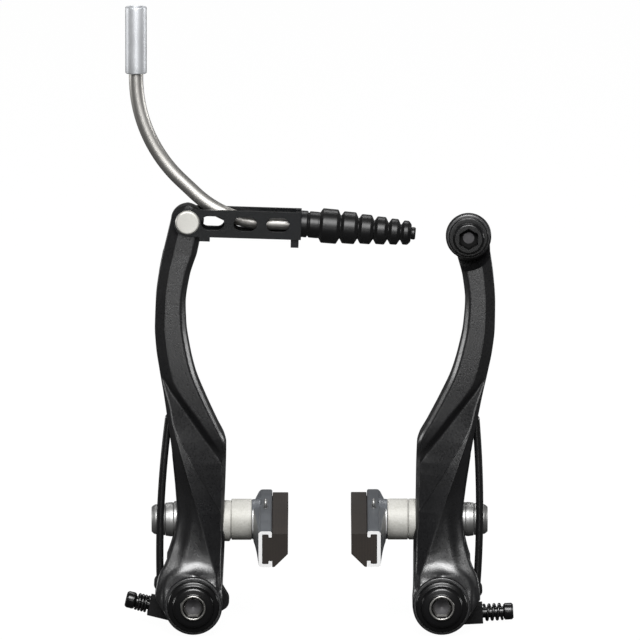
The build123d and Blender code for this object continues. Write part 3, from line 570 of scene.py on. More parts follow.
def eased(node: str, finish: Finish, body: str, ease: float, segments: int = 3) -> bpy.types.Object:
    """Copy of a CAD node with merged faces and eased edges.

    Args:
        node: The node it stands for.
        finish: Its finish.
        body: Body that it rides on.
        ease: Width of the eased edges, in millimetres.
        segments: Faces across an eased edge.

    Returns:
        The piece.
    """
    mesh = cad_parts[node].data.copy()
    work = bmesh.new()
    work.from_mesh(mesh)
    bmesh.ops.remove_doubles(work, verts=work.verts, dist=MERGE)
    bmesh.ops.dissolve_limit(work, angle_limit=radians(FLAT_ANGLE), verts=work.verts, edges=work.edges)
    work.to_mesh(mesh)
    work.free()
    piece = dress(f"{node}_eased", mesh, finish, body, [node], Mesh.CRISP)
    bevel = piece.modifiers.new("eased_edges", "BEVEL")
    bevel.width = ease * MM
    bevel.segments = segments
    bevel.limit_method = "ANGLE"
    bevel.angle_limit = radians(EDGE_ANGLE)
    bevel.use_clamp_overlap = True
    bevel.harden_normals = True
    return piece


def clad(node: str, finish: Finish) -> None:
    """Gives a CAD node that stays as it is a real finish, on its object's own slots."""
    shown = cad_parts[node]
    for place in shown.material_slots:
        place.link = "OBJECT"
        place.material = finish.material()
    log.info("%s: CAD shape in %s", node, finish.label)


def carved(name: str, patch: Patch, steps: Sequence[tuple[Cut, Patch]]) -> bpy.types.Mesh:
    """Mesh of a closed patch with others joined to it or taken out of it in turn, by exact Boolean modifiers.

    Args:
        name: Name of the mesh.
        patch: A closed surface.
        steps: What is done with each further closed surface.

    Returns:
        The mesh.
    """
    blanks = [in_scene(f"{name}_blank_{n}", shaped(f"{name}_blank_{n}", shape))
              for n, shape in enumerate([patch, *[shape for _, shape in steps]])]
    for (way, _), blank in zip(steps, blanks[1:]):
        step = blanks[0].modifiers.new(blank.name, "BOOLEAN")
        step.object = blank
        step.operation = way.value
        step.solver = "EXACT"
    graph = bpy.context.evaluated_depsgraph_get()
    mesh = bpy.data.meshes.new_from_object(blanks[0].evaluated_get(graph))
    mesh.name = name
    for blank in blanks:
        bpy.data.objects.remove(blank)
    return mesh


def lean(point: tuple[float, float], angle: float) -> tuple[float, float]:
    """A point of a half's plane, outwards and up from the pivot, turned about the pivot by degrees."""
    c, s = cos(radians(angle)), sin(radians(angle))
    return point[0] * c - point[1] * s, point[0] * s + point[1] * c


@dataclass(frozen=True)
class Half:
    """Where one half stands: its pivot, the lean of its arm and the turn of its spring unit."""

    side: Side
    lean: float
    unit_turn: float
    screw_reach: float
    pivot: float = 34.75

    def place(self, patch: Patch, turn: float = 0.0) -> Patch:
        """Moves a patch drawn right-handed about the pivot to its place: turned about Y, moved and mirrored."""
        turned = patch.placed(turn_y(-turn), (self.pivot, 0.0, 0.0))
        return turned.placed(np.diag([self.side.value, 1.0, 1.0]))

    def node(self, name: str) -> str:
        """Full name of one of this half's nodes."""
        return f"{self.side.label}_{name}"

    @property
    def lever(self) -> str:
        """Body that swings about the pivot."""
        return self.node("lever")


LEFT = Half(Side.LEFT, 3.0, 14.0, 16.6)
RIGHT = Half(Side.RIGHT, 0.0, 3.0, 18.5)
FRAME_SIDE = "frame_side"

# Planes along Y, in millimetres, as packed
EYE_FRONT, EYE_BACK, EYE_RADIUS = -24.95, -8.25, 8.2
BOLT_SEAT = -25.1
POST_PLANE, POST_HEIGHT = -13.0, 22.4
LINK_PLANE = -18.55
WIRE_PLANE = -19.1
LIP_BACK = -20.45


# Depths behind the eye's front that the lines of the relief share low on the arm
FOOT: Knots = ((6.0, 4.6), (12.0, 5.2), (18.0, 5.6))
SHIN: Knots = (*FOOT, (25.6, 5.5), (33.0, 5.2), (36.0, 5.3))


@dataclass
class Arm:
    """Painted arm: a section carried up the arm, whose front line has twelve corners that follow the relief.

    Each line of the relief is a curve of place across the arm and of depth behind the eye's front, both over
    the height. Lines that lie beyond an edge at some height are held just inside it. Round the eye the depths
    run out into a cove, whose own depth is a curve over the distance from the pivot.
    """

    half: Half
    top: float = 98.5
    inner: Knots = ((3.0, -8.0), (17.0, -7.9), (24.0, -7.4), (44.5, -6.9), (46.5, -6.4), (51.0, -4.0), (58.0, -0.4),
                    (65.0, 2.8), (71.5, 4.7), (78.0, 6.0), (85.0, 6.5), (92.0, 5.8), (98.5, 4.1))
    outer: Knots = ((3.0, 10.8), (7.0, 10.2), (10.5, 8.6), (14.0, 7.4), (18.0, 6.5), (24.0, 5.9), (31.0, 6.6),
                    (38.0, 7.6), (46.5, 8.9), (52.0, 10.0), (58.0, 11.2), (66.0, 13.0), (71.5, 14.1), (78.0, 14.8),
                    (85.0, 14.9), (92.0, 14.4), (98.5, 13.5))
    back: Knots = ((14.0, 0.4), (24.0, -1.0), (31.0, -0.6), (46.5, 1.8), (66.0, 3.1), (98.5, 3.2))
    bevel: Knots = ((8.0, 0.8), (46.5, 1.1), (66.0, 1.3), (98.5, 1.3))
    bevel_depth: Knots = ((8.0, 1.0), (46.5, 1.4), (66.0, 1.9), (98.5, 1.8))
    facet_edge: Knots = ((40.0, -7.5), (44.5, -4.4), (48.7, -1.2), (52.4, 1.6), (56.8, 5.2), (60.0, 7.6), (63.0, 9.4),
                         (66.0, 10.5), (71.5, 11.5), (78.0, 12.2), (85.0, 12.3), (92.0, 11.8), (98.5, 10.9))
    valley: Knots = ((38.0, -7.5), (40.6, -5.0), (44.5, -2.0), (48.7, 1.2), (52.4, 4.0), (56.8, 7.4), (60.0, 9.8),
                     (63.5, 12.0))
    crease: Knots = ((24.0, -7.5), (25.6, -6.3), (33.0, -1.85), (40.0, 2.4), (45.0, 5.45), (47.7, 7.1), (50.0, 8.1),
                     (55.0, 9.3), (60.0, 11.0), (63.5, 12.15))
    ridge: Knots = ((8.0, -6.2), (12.0, -4.5), (18.8, -2.25), (25.6, 0.0), (31.9, 2.2), (40.0, 5.0), (45.0, 6.7),
                    (47.7, 7.6), (50.0, 8.3), (55.0, 9.5), (60.0, 11.2), (63.5, 12.3))
    flank: Knots = ((4.3, 8.4), (7.0, 7.2), (8.9, 5.0), (10.5, 3.4), (15.0, 2.8), (20.0, 2.2), (25.0, 1.6),
                    (29.0, 1.6), (31.9, 2.5), (36.0, 3.95), (40.0, 5.3), (45.0, 7.0), (47.7, 8.0), (50.0, 8.6),
                    (55.0, 9.8), (60.0, 11.3), (63.5, 12.4))
    facet_depth: Knots = (*SHIN, (40.6, 5.3), (44.0, 4.4), (46.5, 3.7), (52.0, 3.2), (66.0, 2.9), (98.5, 3.4))
    valley_depth: Knots = (*SHIN, (38.0, 5.6), (40.6, 5.7), (44.5, 5.5), (48.7, 5.2), (52.4, 5.0), (56.8, 4.8),
                           (60.0, 4.8), (63.5, 4.9))
    crease_depth: Knots = (*FOOT, (24.0, 5.5), (25.6, 5.3), (28.0, 4.6), (33.0, 3.3), (40.0, 2.4), (45.0, 2.6),
                           (47.7, 2.95), (52.0, 3.4), (56.0, 3.8), (60.0, 4.4), (63.5, 4.9))
    ridge_depth: Knots = ((8.0, 3.2), (14.0, 3.2), (18.8, 3.1), (25.6, 2.7), (31.9, 2.25), (40.0, 2.05), (45.0, 2.4),
                          (47.7, 2.8), (50.0, 3.15), (55.0, 3.6), (60.0, 4.3), (63.5, 4.9))
    scoop_depth: Knots = ((8.0, 3.3), (14.0, 3.4), (18.0, 3.4), (22.0, 3.2), (26.0, 2.9), (31.9, 2.4), (40.0, 2.2),
                          (45.0, 2.6), (47.7, 3.0), (55.0, 3.75), (60.0, 4.4), (63.5, 4.9))
    flank_depth: Knots = ((4.3, 2.0), (8.0, 2.6), (14.0, 3.1), (18.0, 3.3), (22.0, 3.3), (26.0, 3.1), (31.9, 2.7),
                          (35.0, 2.6), (41.8, 2.65), (47.7, 3.2), (55.0, 3.9), (60.0, 4.5), (63.5, 4.95))
    side_depth: Knots = ((3.0, 2.4), (8.0, 2.8), (11.0, 3.3), (14.0, 3.9), (18.0, 4.7), (24.0, 5.4), (31.0, 5.5),
                         (38.0, 5.1), (44.0, 4.3), (50.0, 4.0), (54.0, 4.3), (63.5, 5.0), (98.5, 5.0))
    roll_share: Knots = ((3.0, 0.5), (8.0, 0.8), (14.0, 0.85), (20.0, 0.75), (29.0, 0.5))
    bead: Knots = ((28.0, 0.0), (31.0, 0.12), (45.0, 0.12), (48.5, 0.0))
    cove: Knots = ((7.4, 0.1), (8.2, 0.25), (8.8, 0.95), (9.6, 1.7), (10.5, 2.35), (11.5, 2.9), (12.6, 3.35),
                   (14.0, 3.8), (16.0, 4.4), (20.0, 6.5), (24.0, 9.0))
    cove_share: tuple[float, ...] = (1.55, 1.5, 1.25, 1.25, 1.25, 1.25, 1.25, 1.0, 1.0, 0.88, 1.0, 1.0)
    cove_blend: float = 0.8
    tip: tuple[float, float] = (7.2, 107.7)
    tip_radius: float = 4.6
    tongue_back: float = -15.55
    boss: tuple[float, float] = (7.4, 104.1)
    boss_radius: float = 6.35
    boss_depth: float = 11.4
    boss_rim: float = 3.0
    boss_back: float = 4.4
    boss_inner: Knots = ((99.5, 3.5), (101.0, 3.1), (104.1, 3.0))
    boss_outer: Knots = ((101.0, 13.4), (104.1, 11.8))
    step_at: tuple[float, float] = (5.58, 105.2)
    step_radius: float = 11.4
    step_front: float = -21.62
    step_depth: float = 3.4
    step_round: float = 4.8
    toe: tuple[float, float] = (6.28, -5.27)
    crease_half: float = 0.22
    merge_from: float = 62.5
    merge_run: float = 3.0
    row_step: float = 0.42
    fine_step: float = 0.16
    fine_from: float = 92.0
    setbacks: tuple[float, ...] = (0.9, 0.7, 0.5, 0.35, 0.6, 0.2, 0.1, 0.2, 0.4, 1.2, 1.6, 1.8, 0.9, 0.9)
    bore_radius: float = 6.27
    room_radius: float = 14.4
    room_angle: float = 75.0
    slot_radius: float = 3.25
    slot_run: float = 2.25
    seats: tuple[tuple[float, float, float], ...] = ((6.0, -12.0, -7.2), (5.0, 5.7, 10.7))
    groove: tuple[float, float] = (8.1, 17.0)
    groove_planes: tuple[float, float] = (-20.3, -17.8)
    groove_heights: tuple[float, float] = (39.5, 54.4)

    def heights(self) -> np.ndarray:
        """Rows up the arm, closer together round the eye, the knee, the step and the tip."""
        eye = -EYE_RADIUS * np.cos(np.linspace(0.05, pi / 2, 22))
        main = np.arange(0.25, self.fine_from, self.row_step)
        near = np.arange(self.fine_from, self.top + 1.4, self.fine_step)
        if self.half.side is Side.RIGHT:
            return np.concatenate([eye, main, near, np.linspace(self.top + 1.5, self.boss[1], 12)])
        cap = self.tip[1] + self.tip_radius * np.sin(np.linspace(-0.1, 1.53, 24))
        return np.concatenate([eye, main, near, np.linspace(self.top + 1.5, cap[0] - 0.2, 14), cap])

    def edges(self, w: np.ndarray) -> tuple[np.ndarray, np.ndarray]:
        """Inner and outer edge: the eye's circle below, the traced outline, and straight lines to the tip's circle.

        Args:
            w: Heights.

        Returns:
            Places of the two edges.
        """
        eye = np.sqrt(np.maximum(EYE_RADIUS**2 - w**2, 0.1))
        inner = np.where(w < 0, -eye, pchip(((0.0, -EYE_RADIUS), *self.inner), w))
        flare = np.interp(w, [self.toe[1], 1.0], [self.toe[0], self.outer[0][1]])
        outer = np.where(w < self.toe[1], eye, np.where(w < 3.0, flare, pchip(self.outer, w)))
        if self.half.side is Side.RIGHT:
            top = w > self.top
            return (np.where(top, pchip(self.inner[-2:] + self.boss_inner, w), inner),
                    np.where(top, pchip(self.outer[-2:] + self.boss_outer, w), outer))
        u, tip = self.tip
        above = np.clip((w - self.top) / (tip - self.top), 0.0, 1.0)
        inner = inner + above * (u - self.tip_radius - inner)
        outer = outer + above * (u + self.tip_radius - outer)
        cap = np.sqrt(np.maximum(self.tip_radius**2 - np.maximum(w - tip, 0.0) ** 2, 0.04))
        return np.where(w > tip, u - cap, inner), np.where(w > tip, u + cap, outer)

    def front(self, w: np.ndarray) -> np.ndarray:
        """Front line at each height: place and Y of twelve corners from the inner to the outer edge.

        Above the valley the four outer lines lie evenly on the bevel between the facet and the outer edge.

        Args:
            w: Heights.

        Returns:
            Array of shape (rows, 12, 2).
        """
        inner, outer = self.edges(w)
        width = outer - inner
        facet = pchip(self.facet_depth, w)
        edge = np.minimum(pchip(self.facet_edge, w), outer - 0.3 * width)
        crease, ridge, flank = (pchip(line, w) for line in (self.crease, self.ridge, self.flank))
        lines = [inner, inner + np.minimum(pchip(self.bevel, w), 0.2 * width), edge, pchip(self.valley, w),
                 crease - self.crease_half, crease, crease + self.crease_half, ridge, (ridge + flank) / 2, flank,
                 flank + 0.4 * np.maximum(outer - flank, 0.0), outer]
        side, bead, ramp = pchip(self.side_depth, w), pchip(self.bead, w), pchip(self.crease_depth, w)
        roll, roof = pchip(self.flank_depth, w), pchip(self.ridge_depth, w)
        depths = [facet + pchip(self.bevel_depth, w), facet, facet, pchip(self.valley_depth, w), ramp, ramp - bead,
                  ramp - 0.3 * bead, roof, pchip(self.scoop_depth, w), roll,
                  roll + pchip(self.roll_share, w) * np.maximum(side - roll, 0.0), side]
        blend = np.clip((w - self.merge_from) / self.merge_run, 0.0, 1.0)
        blend = blend * blend * (3 - 2 * blend)
        for k, share in zip(range(3, 11), np.arange(1, 9) / 9):
            lines[k] = (1 - blend) * lines[k] + blend * (edge + share * (outer - edge))
            depths[k] = (1 - blend) * depths[k] + blend * (facet + share * (side - facet))
        u, depth = np.stack(lines, axis=1), np.stack(depths, axis=1)
        gap = np.arange(12) * np.minimum(0.05, width / 16)[:, None]
        u = np.maximum.accumulate(np.maximum(u, inner[:, None]) - gap, axis=1) + gap
        u = np.minimum(u, outer[:, None] - gap[:, ::-1])
        cove = pchip(self.cove, np.hypot(u, w[:, None])) * np.array(self.cove_share)
        near = np.clip(0.5 + 0.5 * (cove - depth) / self.cove_blend, 0.0, 1.0)
        depth = cove + (depth - cove) * near - self.cove_blend * near * (1 - near)
        return np.stack([u, EYE_FRONT + depth], axis=-1)

    def shell(self) -> Patch:
        """The arm's closed skin: front line, sides and back at every height, with all corners rounded."""
        w = self.heights()
        inner, outer = self.edges(w)
        back = EYE_BACK - pchip(self.back, w)
        if self.half.side is Side.LEFT:
            fall = np.clip((w - self.top + 1.0) / 2.0, 0.0, 1.0)
            back = back + (self.tongue_back - back) * fall * fall * (3 - 2 * fall)
        front = self.front(w)
        ends = [np.stack([edge, back], -1)[:, None] for edge in (inner, outer)]
        corners = np.concatenate([ends[0], front, ends[1]], 1)
        outline = round_corners(corners, np.array(self.setbacks))
        height = np.broadcast_to(w[:, None], outline.shape[:2])
        return Patch.grid(np.stack([outline[..., 0], outline[..., 1], height], axis=-1), caps=True)

    def cutters(self) -> list[Patch]:
        """Bore of the eye, room for the spring behind the lip and up the arm, slot and seats of the shoe post."""
        bore = lathe(np.array([(self.bore_radius, y) for y in (EYE_FRONT - 3, EYE_BACK + 3)]), (0, 0, 0), (0, 1, 0), 64)
        angle = np.radians(np.linspace(-self.room_angle, self.room_angle, 40))
        arc = np.stack([np.cos(angle), np.sin(angle)], 1)
        ring = np.concatenate([arc * EYE_RADIUS, arc[::-1] * self.room_radius])
        room = np.stack([np.insert(ring, 1, y, axis=1) for y in (LIP_BACK, EYE_BACK + 2.4)])
        turn = np.linspace(0, 2 * pi, 48, endpoint=False)
        slot = np.stack([self.slot_radius * np.cos(turn),
                         self.slot_radius * np.sin(turn) + self.slot_run * np.sign(np.sin(turn))], 1)
        hole = np.stack([np.insert(slot + (POST_PLANE, POST_HEIGHT), 0, x, axis=1) for x in (-20.0, 20.0)])
        seats = [lathe(np.array([(r, a), (r, b)]), (0, POST_PLANE, POST_HEIGHT), (1, 0, 0), 56)
                 for r, a, b in self.seats]
        (front, back), (low, high) = self.groove_planes, self.groove_heights
        groove = np.array([[(u, y, w) for y, w in ((front, low), (back, low), (back, high), (front, high))]
                           for u in self.groove])
        return [bore, Patch.grid(room, caps=True), Patch.grid(hole, caps=True), *seats, Patch.grid(groove, caps=True)]

    def cable_end(self) -> list[tuple[Cut, Patch]]:
        """Cove that ends the facet below the boss, a quarter round turned about Y, and then the tapered boss."""
        turn = np.linspace(0, pi / 2, 10)
        cove = np.stack([self.step_radius - self.step_round * (1 - np.cos(turn)),
                         self.step_front + self.step_depth * np.sin(turn)], axis=1)
        cut = np.concatenate([[(0.01, -40.0), (self.step_radius, -40.0)], cove, [(0.01, cove[-1, 1])]])
        front, end = LINK_PLANE - self.boss_depth / 2, LINK_PLANE + self.boss_depth / 2
        rim = soften([(0.01, front), (self.boss_radius, front), (self.boss_radius, front + self.boss_rim),
                      (self.boss_back, end), (0.01, end)], 0.5)
        (a, b), (u, w) = self.step_at, self.boss
        return [(Cut.OUT, lathe(cut, (a, 0, b), (0, 1, 0), 160)), (Cut.ON, lathe(rim, (u, 0, w), (0, 1, 0), 96))]

    def make(self) -> None:
        """Builds the arm, on the right with the boss that carries the cable anchor."""
        half = self.half
        steps = self.cable_end() if half.side is Side.RIGHT else []
        steps += [(Cut.OUT, cutter) for cutter in self.cutters()]
        name = half.node("painted_arm")
        mesh = carved(name, half.place(self.shell(), half.lean),
                      [(way, half.place(shape, half.lean)) for way, shape in steps])
        dress(name, mesh, PAINT, half.lever, [half.node("arm")], Mesh.CRISP)


@dataclass
class PivotSet:
    """What sits on one pivot: bolt, sleeve, bush, stop plate, spring holder, tension screw and return spring."""

    half: Half
    flange_radius: float = 8.1
    flange: float = 2.2
    dome_radius: float = 7.4
    hub_radius: float = 5.7
    dome: float = 3.2
    key: float = 5.0
    key_depth: float = 2.6
    shank_radius: float = 3.0
    shank: float = 18.0
    wire_radius: float = 1.05
    wire_seat: tuple[float, float] = (9.65, 0.6)
    wire_top: tuple[float, float] = (9.5, 52.6)
    wire_bow: float = 1.8
    wire_bend: float = 2.6
    wire_start: float = -1.35
    wire_arc: float = 0.42
    wire_nose: tuple[float, float] = (0.3, 0.04)
    screw_plane: float = -4.65
    screw_drop: float = 6.2
    screw_head: float = 2.8
    coil_start: float = 11.3
    coil_radius: float = 2.1
    coil_wire: float = 0.4
    coil_turns: float = 3.5

    def turned(self, label: str, line: np.ndarray, finish: Finish, columns: int, hexed: np.ndarray | None = None,
               edges: Mesh = Mesh.CRISP, nodes: Sequence[str] = ()) -> None:
        """Builds one part turned about the pivot, with filled ends where it stands for a node.

        Args:
            label: Name of the piece without its side.
            line: Pairs of radius and Y.
            finish: Its finish.
            columns: Columns round the pivot.
            hexed: Share of hexagon of each ring.
            edges: Which edges stay sharp.
            nodes: CAD nodes that it stands for.
        """
        patch = lathe(line, (0, 0, 0), (0, 1, 0), columns, hexed, caps=bool(nodes))
        build(self.half.node(label), self.half.place(patch), finish, FRAME_SIDE, nodes, edges)

    def bolt(self) -> None:
        """Flange ring and stepped, domed head with a raised rim round the key socket, all turned about the pivot."""
        front = BOLT_SEAT - self.flange
        top, end = front - self.dome, BOLT_SEAT + self.shank
        bottom = top + self.key_depth
        flat, hub, dome, shank = self.key / 2, self.hub_radius, self.dome_radius, self.shank_radius
        edge = self.flange_radius
        ring = soften([(3.1, BOLT_SEAT), (edge, BOLT_SEAT), (edge, front), (3.1, front)], 0.35)
        self.turned("bolt_flange", ring, PAINT, 112)
        turn = np.linspace(0, 2 * pi, 17)
        bead = np.stack([flat + 0.72 + 0.3 * np.cos(turn), top + 0.05 - 0.16 * np.sin(turn)], axis=1)
        # Pale steel on the rim: a painted highlight
        self.turned("bolt_rim", bead, RIM_HIGHLIGHT, 96, edges=Mesh.SOFT)
        floor = np.array([(0.01, bottom + 0.25), (1.3, bottom - 0.05), (flat - 0.35, bottom - 0.05)])
        wall = np.array([(flat - 0.35, bottom - 0.05), (flat - 0.03, bottom - 0.35), (flat - 0.03, top + 0.42)])
        # Grey socket floor, lighter than the bolt: painted light
        self.turned("bolt_socket_floor", floor, SOCKET_FLOOR_LIGHT, 120, np.array([0, 0, 1]))
        # Pale socket walls: a painted highlight
        self.turned("bolt_socket", wall, RIM_HIGHLIGHT, 120, np.array([1, 1, 1]))
        # Up the socket, over its rim and the hub's edge, down to the flange and along the shank
        socket = [(0.01, bottom + 0.4), (flat, bottom + 0.4), (flat, top + 0.45), (flat, top + 0.4)]
        head = soften([(flat + 0.4, top), (flat + 0.95, top), (flat + 1.15, top + 0.4), (hub - 0.5, top + 0.75),
                       (hub, top + 1.15), (hub + 0.1, top + 1.9), (dome - 0.4, top + 2.25), (dome, front - 0.05),
                       (3.05, front - 0.05), (shank, front), (shank, end), (0.01, end)], 0.3)
        line, hexed = socketed(socket, head)
        self.turned("bolt_head", line, BLACK_STEEL, 120, hexed, nodes=[self.half.node("pivot_bolt")])

    def spring(self) -> None:
        """Return spring: a wire forwards out of the holder, round a bend and in a slight bow up to the arm."""
        seat = lean(self.wire_seat, self.half.unit_turn)
        top = lean(self.wire_top, self.half.lean)
        bow = ((seat[0] + top[0]) / 2 + self.wire_bow, (seat[1] + top[1]) / 2)
        corners = np.array([(seat[0], self.wire_start, seat[1]),
                            *[(u, WIRE_PLANE, w) for u, w in (seat, bow, top)]])
        rise = top[1] - seat[1]
        path = bent_line(corners, (self.wire_bend, self.wire_arc * rise / tan(2 * self.wire_bow / rise)), 0.5)
        size = np.full(len(path), self.wire_radius)
        size[[0, -1]] -= self.wire_nose[0]
        size[[1, -2]] -= self.wire_nose[1]
        wire = build(self.half.node("spring_wire"), self.half.place(tube(path, size, (1, 0, 0))), BLACK_WIRE, "",
                     [self.half.node("return_spring")], Mesh.CRISP, ride=False)
        self.half.lever
        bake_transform(wire)

    def screw(self) -> None:
        """Tension screw as in the CAD, with eased edges, and the little coil between its head and the lug."""
        node = self.half.node
        eased(node("adjuster_screw"), BLACK_STEEL, node("screw"), 0.25)
        start = self.coil_start + self.coil_wire
        end = self.half.screw_reach - self.screw_head / 2 - self.coil_wire
        turn = np.linspace(0, 2 * pi * self.coil_turns, 160)
        path = np.stack([np.linspace(start, end, 160), self.screw_plane + self.coil_radius * np.sin(turn),
                         self.coil_radius * np.cos(turn) - self.screw_drop], axis=1)
        build(node("screw_coil"), self.half.place(tube(path, self.coil_wire, (1, 0, 0), 14), self.half.unit_turn),
              BLACK_WIRE, FRAME_SIDE, [node("adjuster_spring")])

    def make(self) -> None:
        """Builds the set; sleeve and bush keep their CAD shapes, which the arm hides."""
        node = self.half.node
        self.bolt()
        self.spring()
        self.screw()
        eased(node("spring_holder"), NYLON, FRAME_SIDE, 0.45)
        eased(node("stop_plate"), ZINC, FRAME_SIDE, 0.2)
        clad(node("pivot_sleeve"), ZINC)
        clad(node("bearing_bush"), BRONZE)


@dataclass
class Shoe:
    """Brake shoe of one half: domed washers, nut, post, cartridge holder, rubber block and its pin.

    Places along X are measured outwards from the tilt centre, about which the washers' faces are spheres.
    """

    half: Half
    tilt: tuple[float, float] = (-0.75, POST_HEIGHT)
    seat: float = 6.45
    inner_radius: float = 5.75
    inner_edge: float = 2.0
    inner_end: float = 14.45
    outer_radius: float = 4.75
    outer_edge: float = 1.0
    outer_end: float = 9.75
    nut_radius: float = 4.15
    nut_base: float = 4.55
    nut_end: float = 13.65
    nut_socket: float = 1.7
    key: float = 5.0
    rim_radius: float = 280.0
    length: float = 70.0
    drop: float = 0.4
    channel: Knots = ((-17.4, 4.3), (-19.2, 4.3), (-19.2, 3.4), (-20.1, 3.4), (-20.1, 5.2), (-16.5, 5.2))
    channel_ease: tuple[float, ...] = (0.3, 0.3, 0.25, 0.35, 0.6, 0.9)
    spine: Knots = ((0.0, 1.64), (7.5, 1.62), (14.0, 1.2), (24.0, 0.62), (34.5, 0.1))
    spine_root: float = -16.9
    spine_high: float = 4.8
    spine_slopes: tuple[float, float] = (0.35, 0.1)
    spine_ease: float = 0.5
    boss_radius: float = 5.7
    block_ease: float = 0.25
    rings: int = 61
    columns: int = 96
    dome_bore: float = 3.8
    cup_bore: float = 3.3
    block: Knots = ((-17.5, 4.2), (-19.1, 4.2), (-19.1, 3.3), (-20.2, 3.3), (-20.2, 4.4), (-24.6, 4.4), (-24.6, -1.4),
                    (-20.8, -5.2), (-20.2, -5.2), (-20.2, -3.3), (-19.1, -3.3), (-19.1, -4.2), (-17.5, -4.2))

    def turned(self, name: str, profile: np.ndarray, finish: Finish, node: str, hexed: np.ndarray | None = None,
               with_arm: bool = False) -> None:
        """Builds one turned part on the post's axis.

        Args:
            name: Name of the piece.
            profile: Pairs of radius and place from the tilt centre.
            finish: Its finish.
            node: The node it stands for.
            hexed: Share of hexagon of each ring.
            with_arm: Whether it leans with the arm.
        """
        angle = self.half.lean if with_arm else 0.0
        u, w = self.tilt if with_arm else lean(self.tilt, self.half.lean)
        patch = lathe(profile, (u, POST_PLANE, w), (1, 0, 0), self.columns, hexed, caps=hexed is not None)
        build(self.half.node(name), self.half.place(patch, angle), finish, self.half.lever, [self.half.node(node)],
              Mesh.CRISP)

    def washers(self) -> None:
        """The two pairs of washers: each dome's and cup's hidden face is an arc about the tilt centre."""
        hole, bore = self.dome_bore, self.cup_bore
        for label, sign, radius, edge, end in (("inner", -1, self.inner_radius, self.inner_edge, self.inner_end),
                                               ("outer", 1, self.outer_radius, self.outer_edge, self.outer_end)):
            inner = label == "inner"
            ball = np.hypot(self.seat + edge, radius)
            dome = soften([(hole, self.seat), (radius, self.seat), (radius, self.seat + edge),
                           (hole, np.sqrt(ball**2 - hole**2))], 0.3 if inner else 0.12)
            start = self.seat + edge + (0.15 if inner else 0.04)
            waist = [(radius, end)] if inner else [(radius + 0.06, start + 0.8), (radius - 0.15, end)]
            cup = soften([(bore, np.sqrt((ball + 0.05) ** 2 - bore**2)), (radius, start), *waist, (bore, end)],
                         0.4 if inner else 0.15)
            finish = BLASTED if inner else ZINC
            self.turned(f"{label}_dome", dome * (1, sign), finish, f"{label}_dome_washer", with_arm=True)
            self.turned(f"{label}_cup", cup * (1, sign), finish, "inner_cup_spacer" if inner else "outer_cup_washer")

    def nut(self) -> None:
        """Round nut with a key socket in its end."""
        flat, end = self.key / 2, self.nut_end
        socket = [(0.01, end - self.nut_socket), (flat, end - self.nut_socket), (flat, end - 0.35)]
        outside = soften([(flat + 0.45, end), (self.nut_radius - 0.7, end), (self.nut_radius, end - 0.8),
                          (self.nut_base, self.outer_end + 0.04), (3.02, self.outer_end + 0.04)], 0.4)
        line, hexed = socketed(socket, outside)
        self.turned("nut", line, ZINC, "shoe_nut", hexed)

    def along_rim(self, corners: np.ndarray, ease: np.ndarray | float) -> Patch:
        """Section with rounded corners carried along the rim: each ring is the section turned about the wheel's axis.

        Args:
            corners: Places along X and Z of the section's corners, the same for all rings or with one row for each.
            ease: Set-back of each corner.

        Returns:
            The closed patch, in the half's plane.
        """
        end = np.arcsin(self.length / 2 / self.rim_radius)
        turn = np.linspace(-end, end, self.rings)
        outline = round_corners(np.broadcast_to(corners, (self.rings, *corners.shape[-2:])), ease)
        reach = self.rim_radius + outline[..., 1]
        ring = np.stack([outline[..., 0], reach * np.sin(turn)[:, None],
                         reach * np.cos(turn)[:, None] - self.rim_radius], axis=-1)
        u, w = lean(self.tilt, self.half.lean)
        return Patch.grid(ring + (u, POST_PLANE, w - self.drop), caps=True)

    def holder(self) -> None:
        """Lipped channel along the rim, a spine behind it that swells to the middle in a scoop, and the round boss."""
        upper = np.array(self.channel)
        channel = self.along_rim(np.concatenate([upper, upper[::-1] * (1, -1)]),
                                 np.concatenate([self.channel_ease, self.channel_ease[::-1]]))
        swell = pchip(self.spine, np.abs(np.linspace(-self.length / 2, self.length / 2, self.rings)))
        back, high = self.channel[-1][0] + swell, np.full(self.rings, self.spine_high)
        root = np.full(self.rings, self.spine_root)
        above, below = self.spine_slopes
        corners = (root, high), (back, high - above * swell), (back, -high + below * swell), (root, -high)
        spine = self.along_rim(np.stack([np.stack(pair, -1) for pair in corners], axis=1), self.spine_ease)
        u, w = lean(self.tilt, self.half.lean)
        r, start = self.boss_radius, -self.inner_end
        line = soften([(0.01, start), (r - 0.1, start), (r, start - 0.9), (r + 0.25, self.spine_root + 0.4),
                       (r + 0.25, self.spine_root), (0.01, self.spine_root)], 0.25)
        boss = lathe(line, (u, POST_PLANE, w), (1, 0, 0), self.columns)
        name, place = self.half.node("cartridge_holder"), self.half.place
        mesh = carved(name, place(channel), [(Cut.ON, place(spine)), (Cut.ON, place(boss))])
        dress(name, mesh, ANODISED, self.half.lever, [self.half.node("shoe_holder")], Mesh.CRISP)

    def make(self) -> None:
        """Builds the shoe."""
        node = self.half.node
        self.washers()
        self.nut()
        clad(node("shoe_post"), ZINC)
        clad(node("pad_pin"), ZINC)
        self.holder()
        block = self.along_rim(np.array(self.block), self.block_ease)
        build(node("rubber_block"), self.half.place(block), BRAKE_RUBBER, self.half.lever, [node("pad")], Mesh.CRISP)


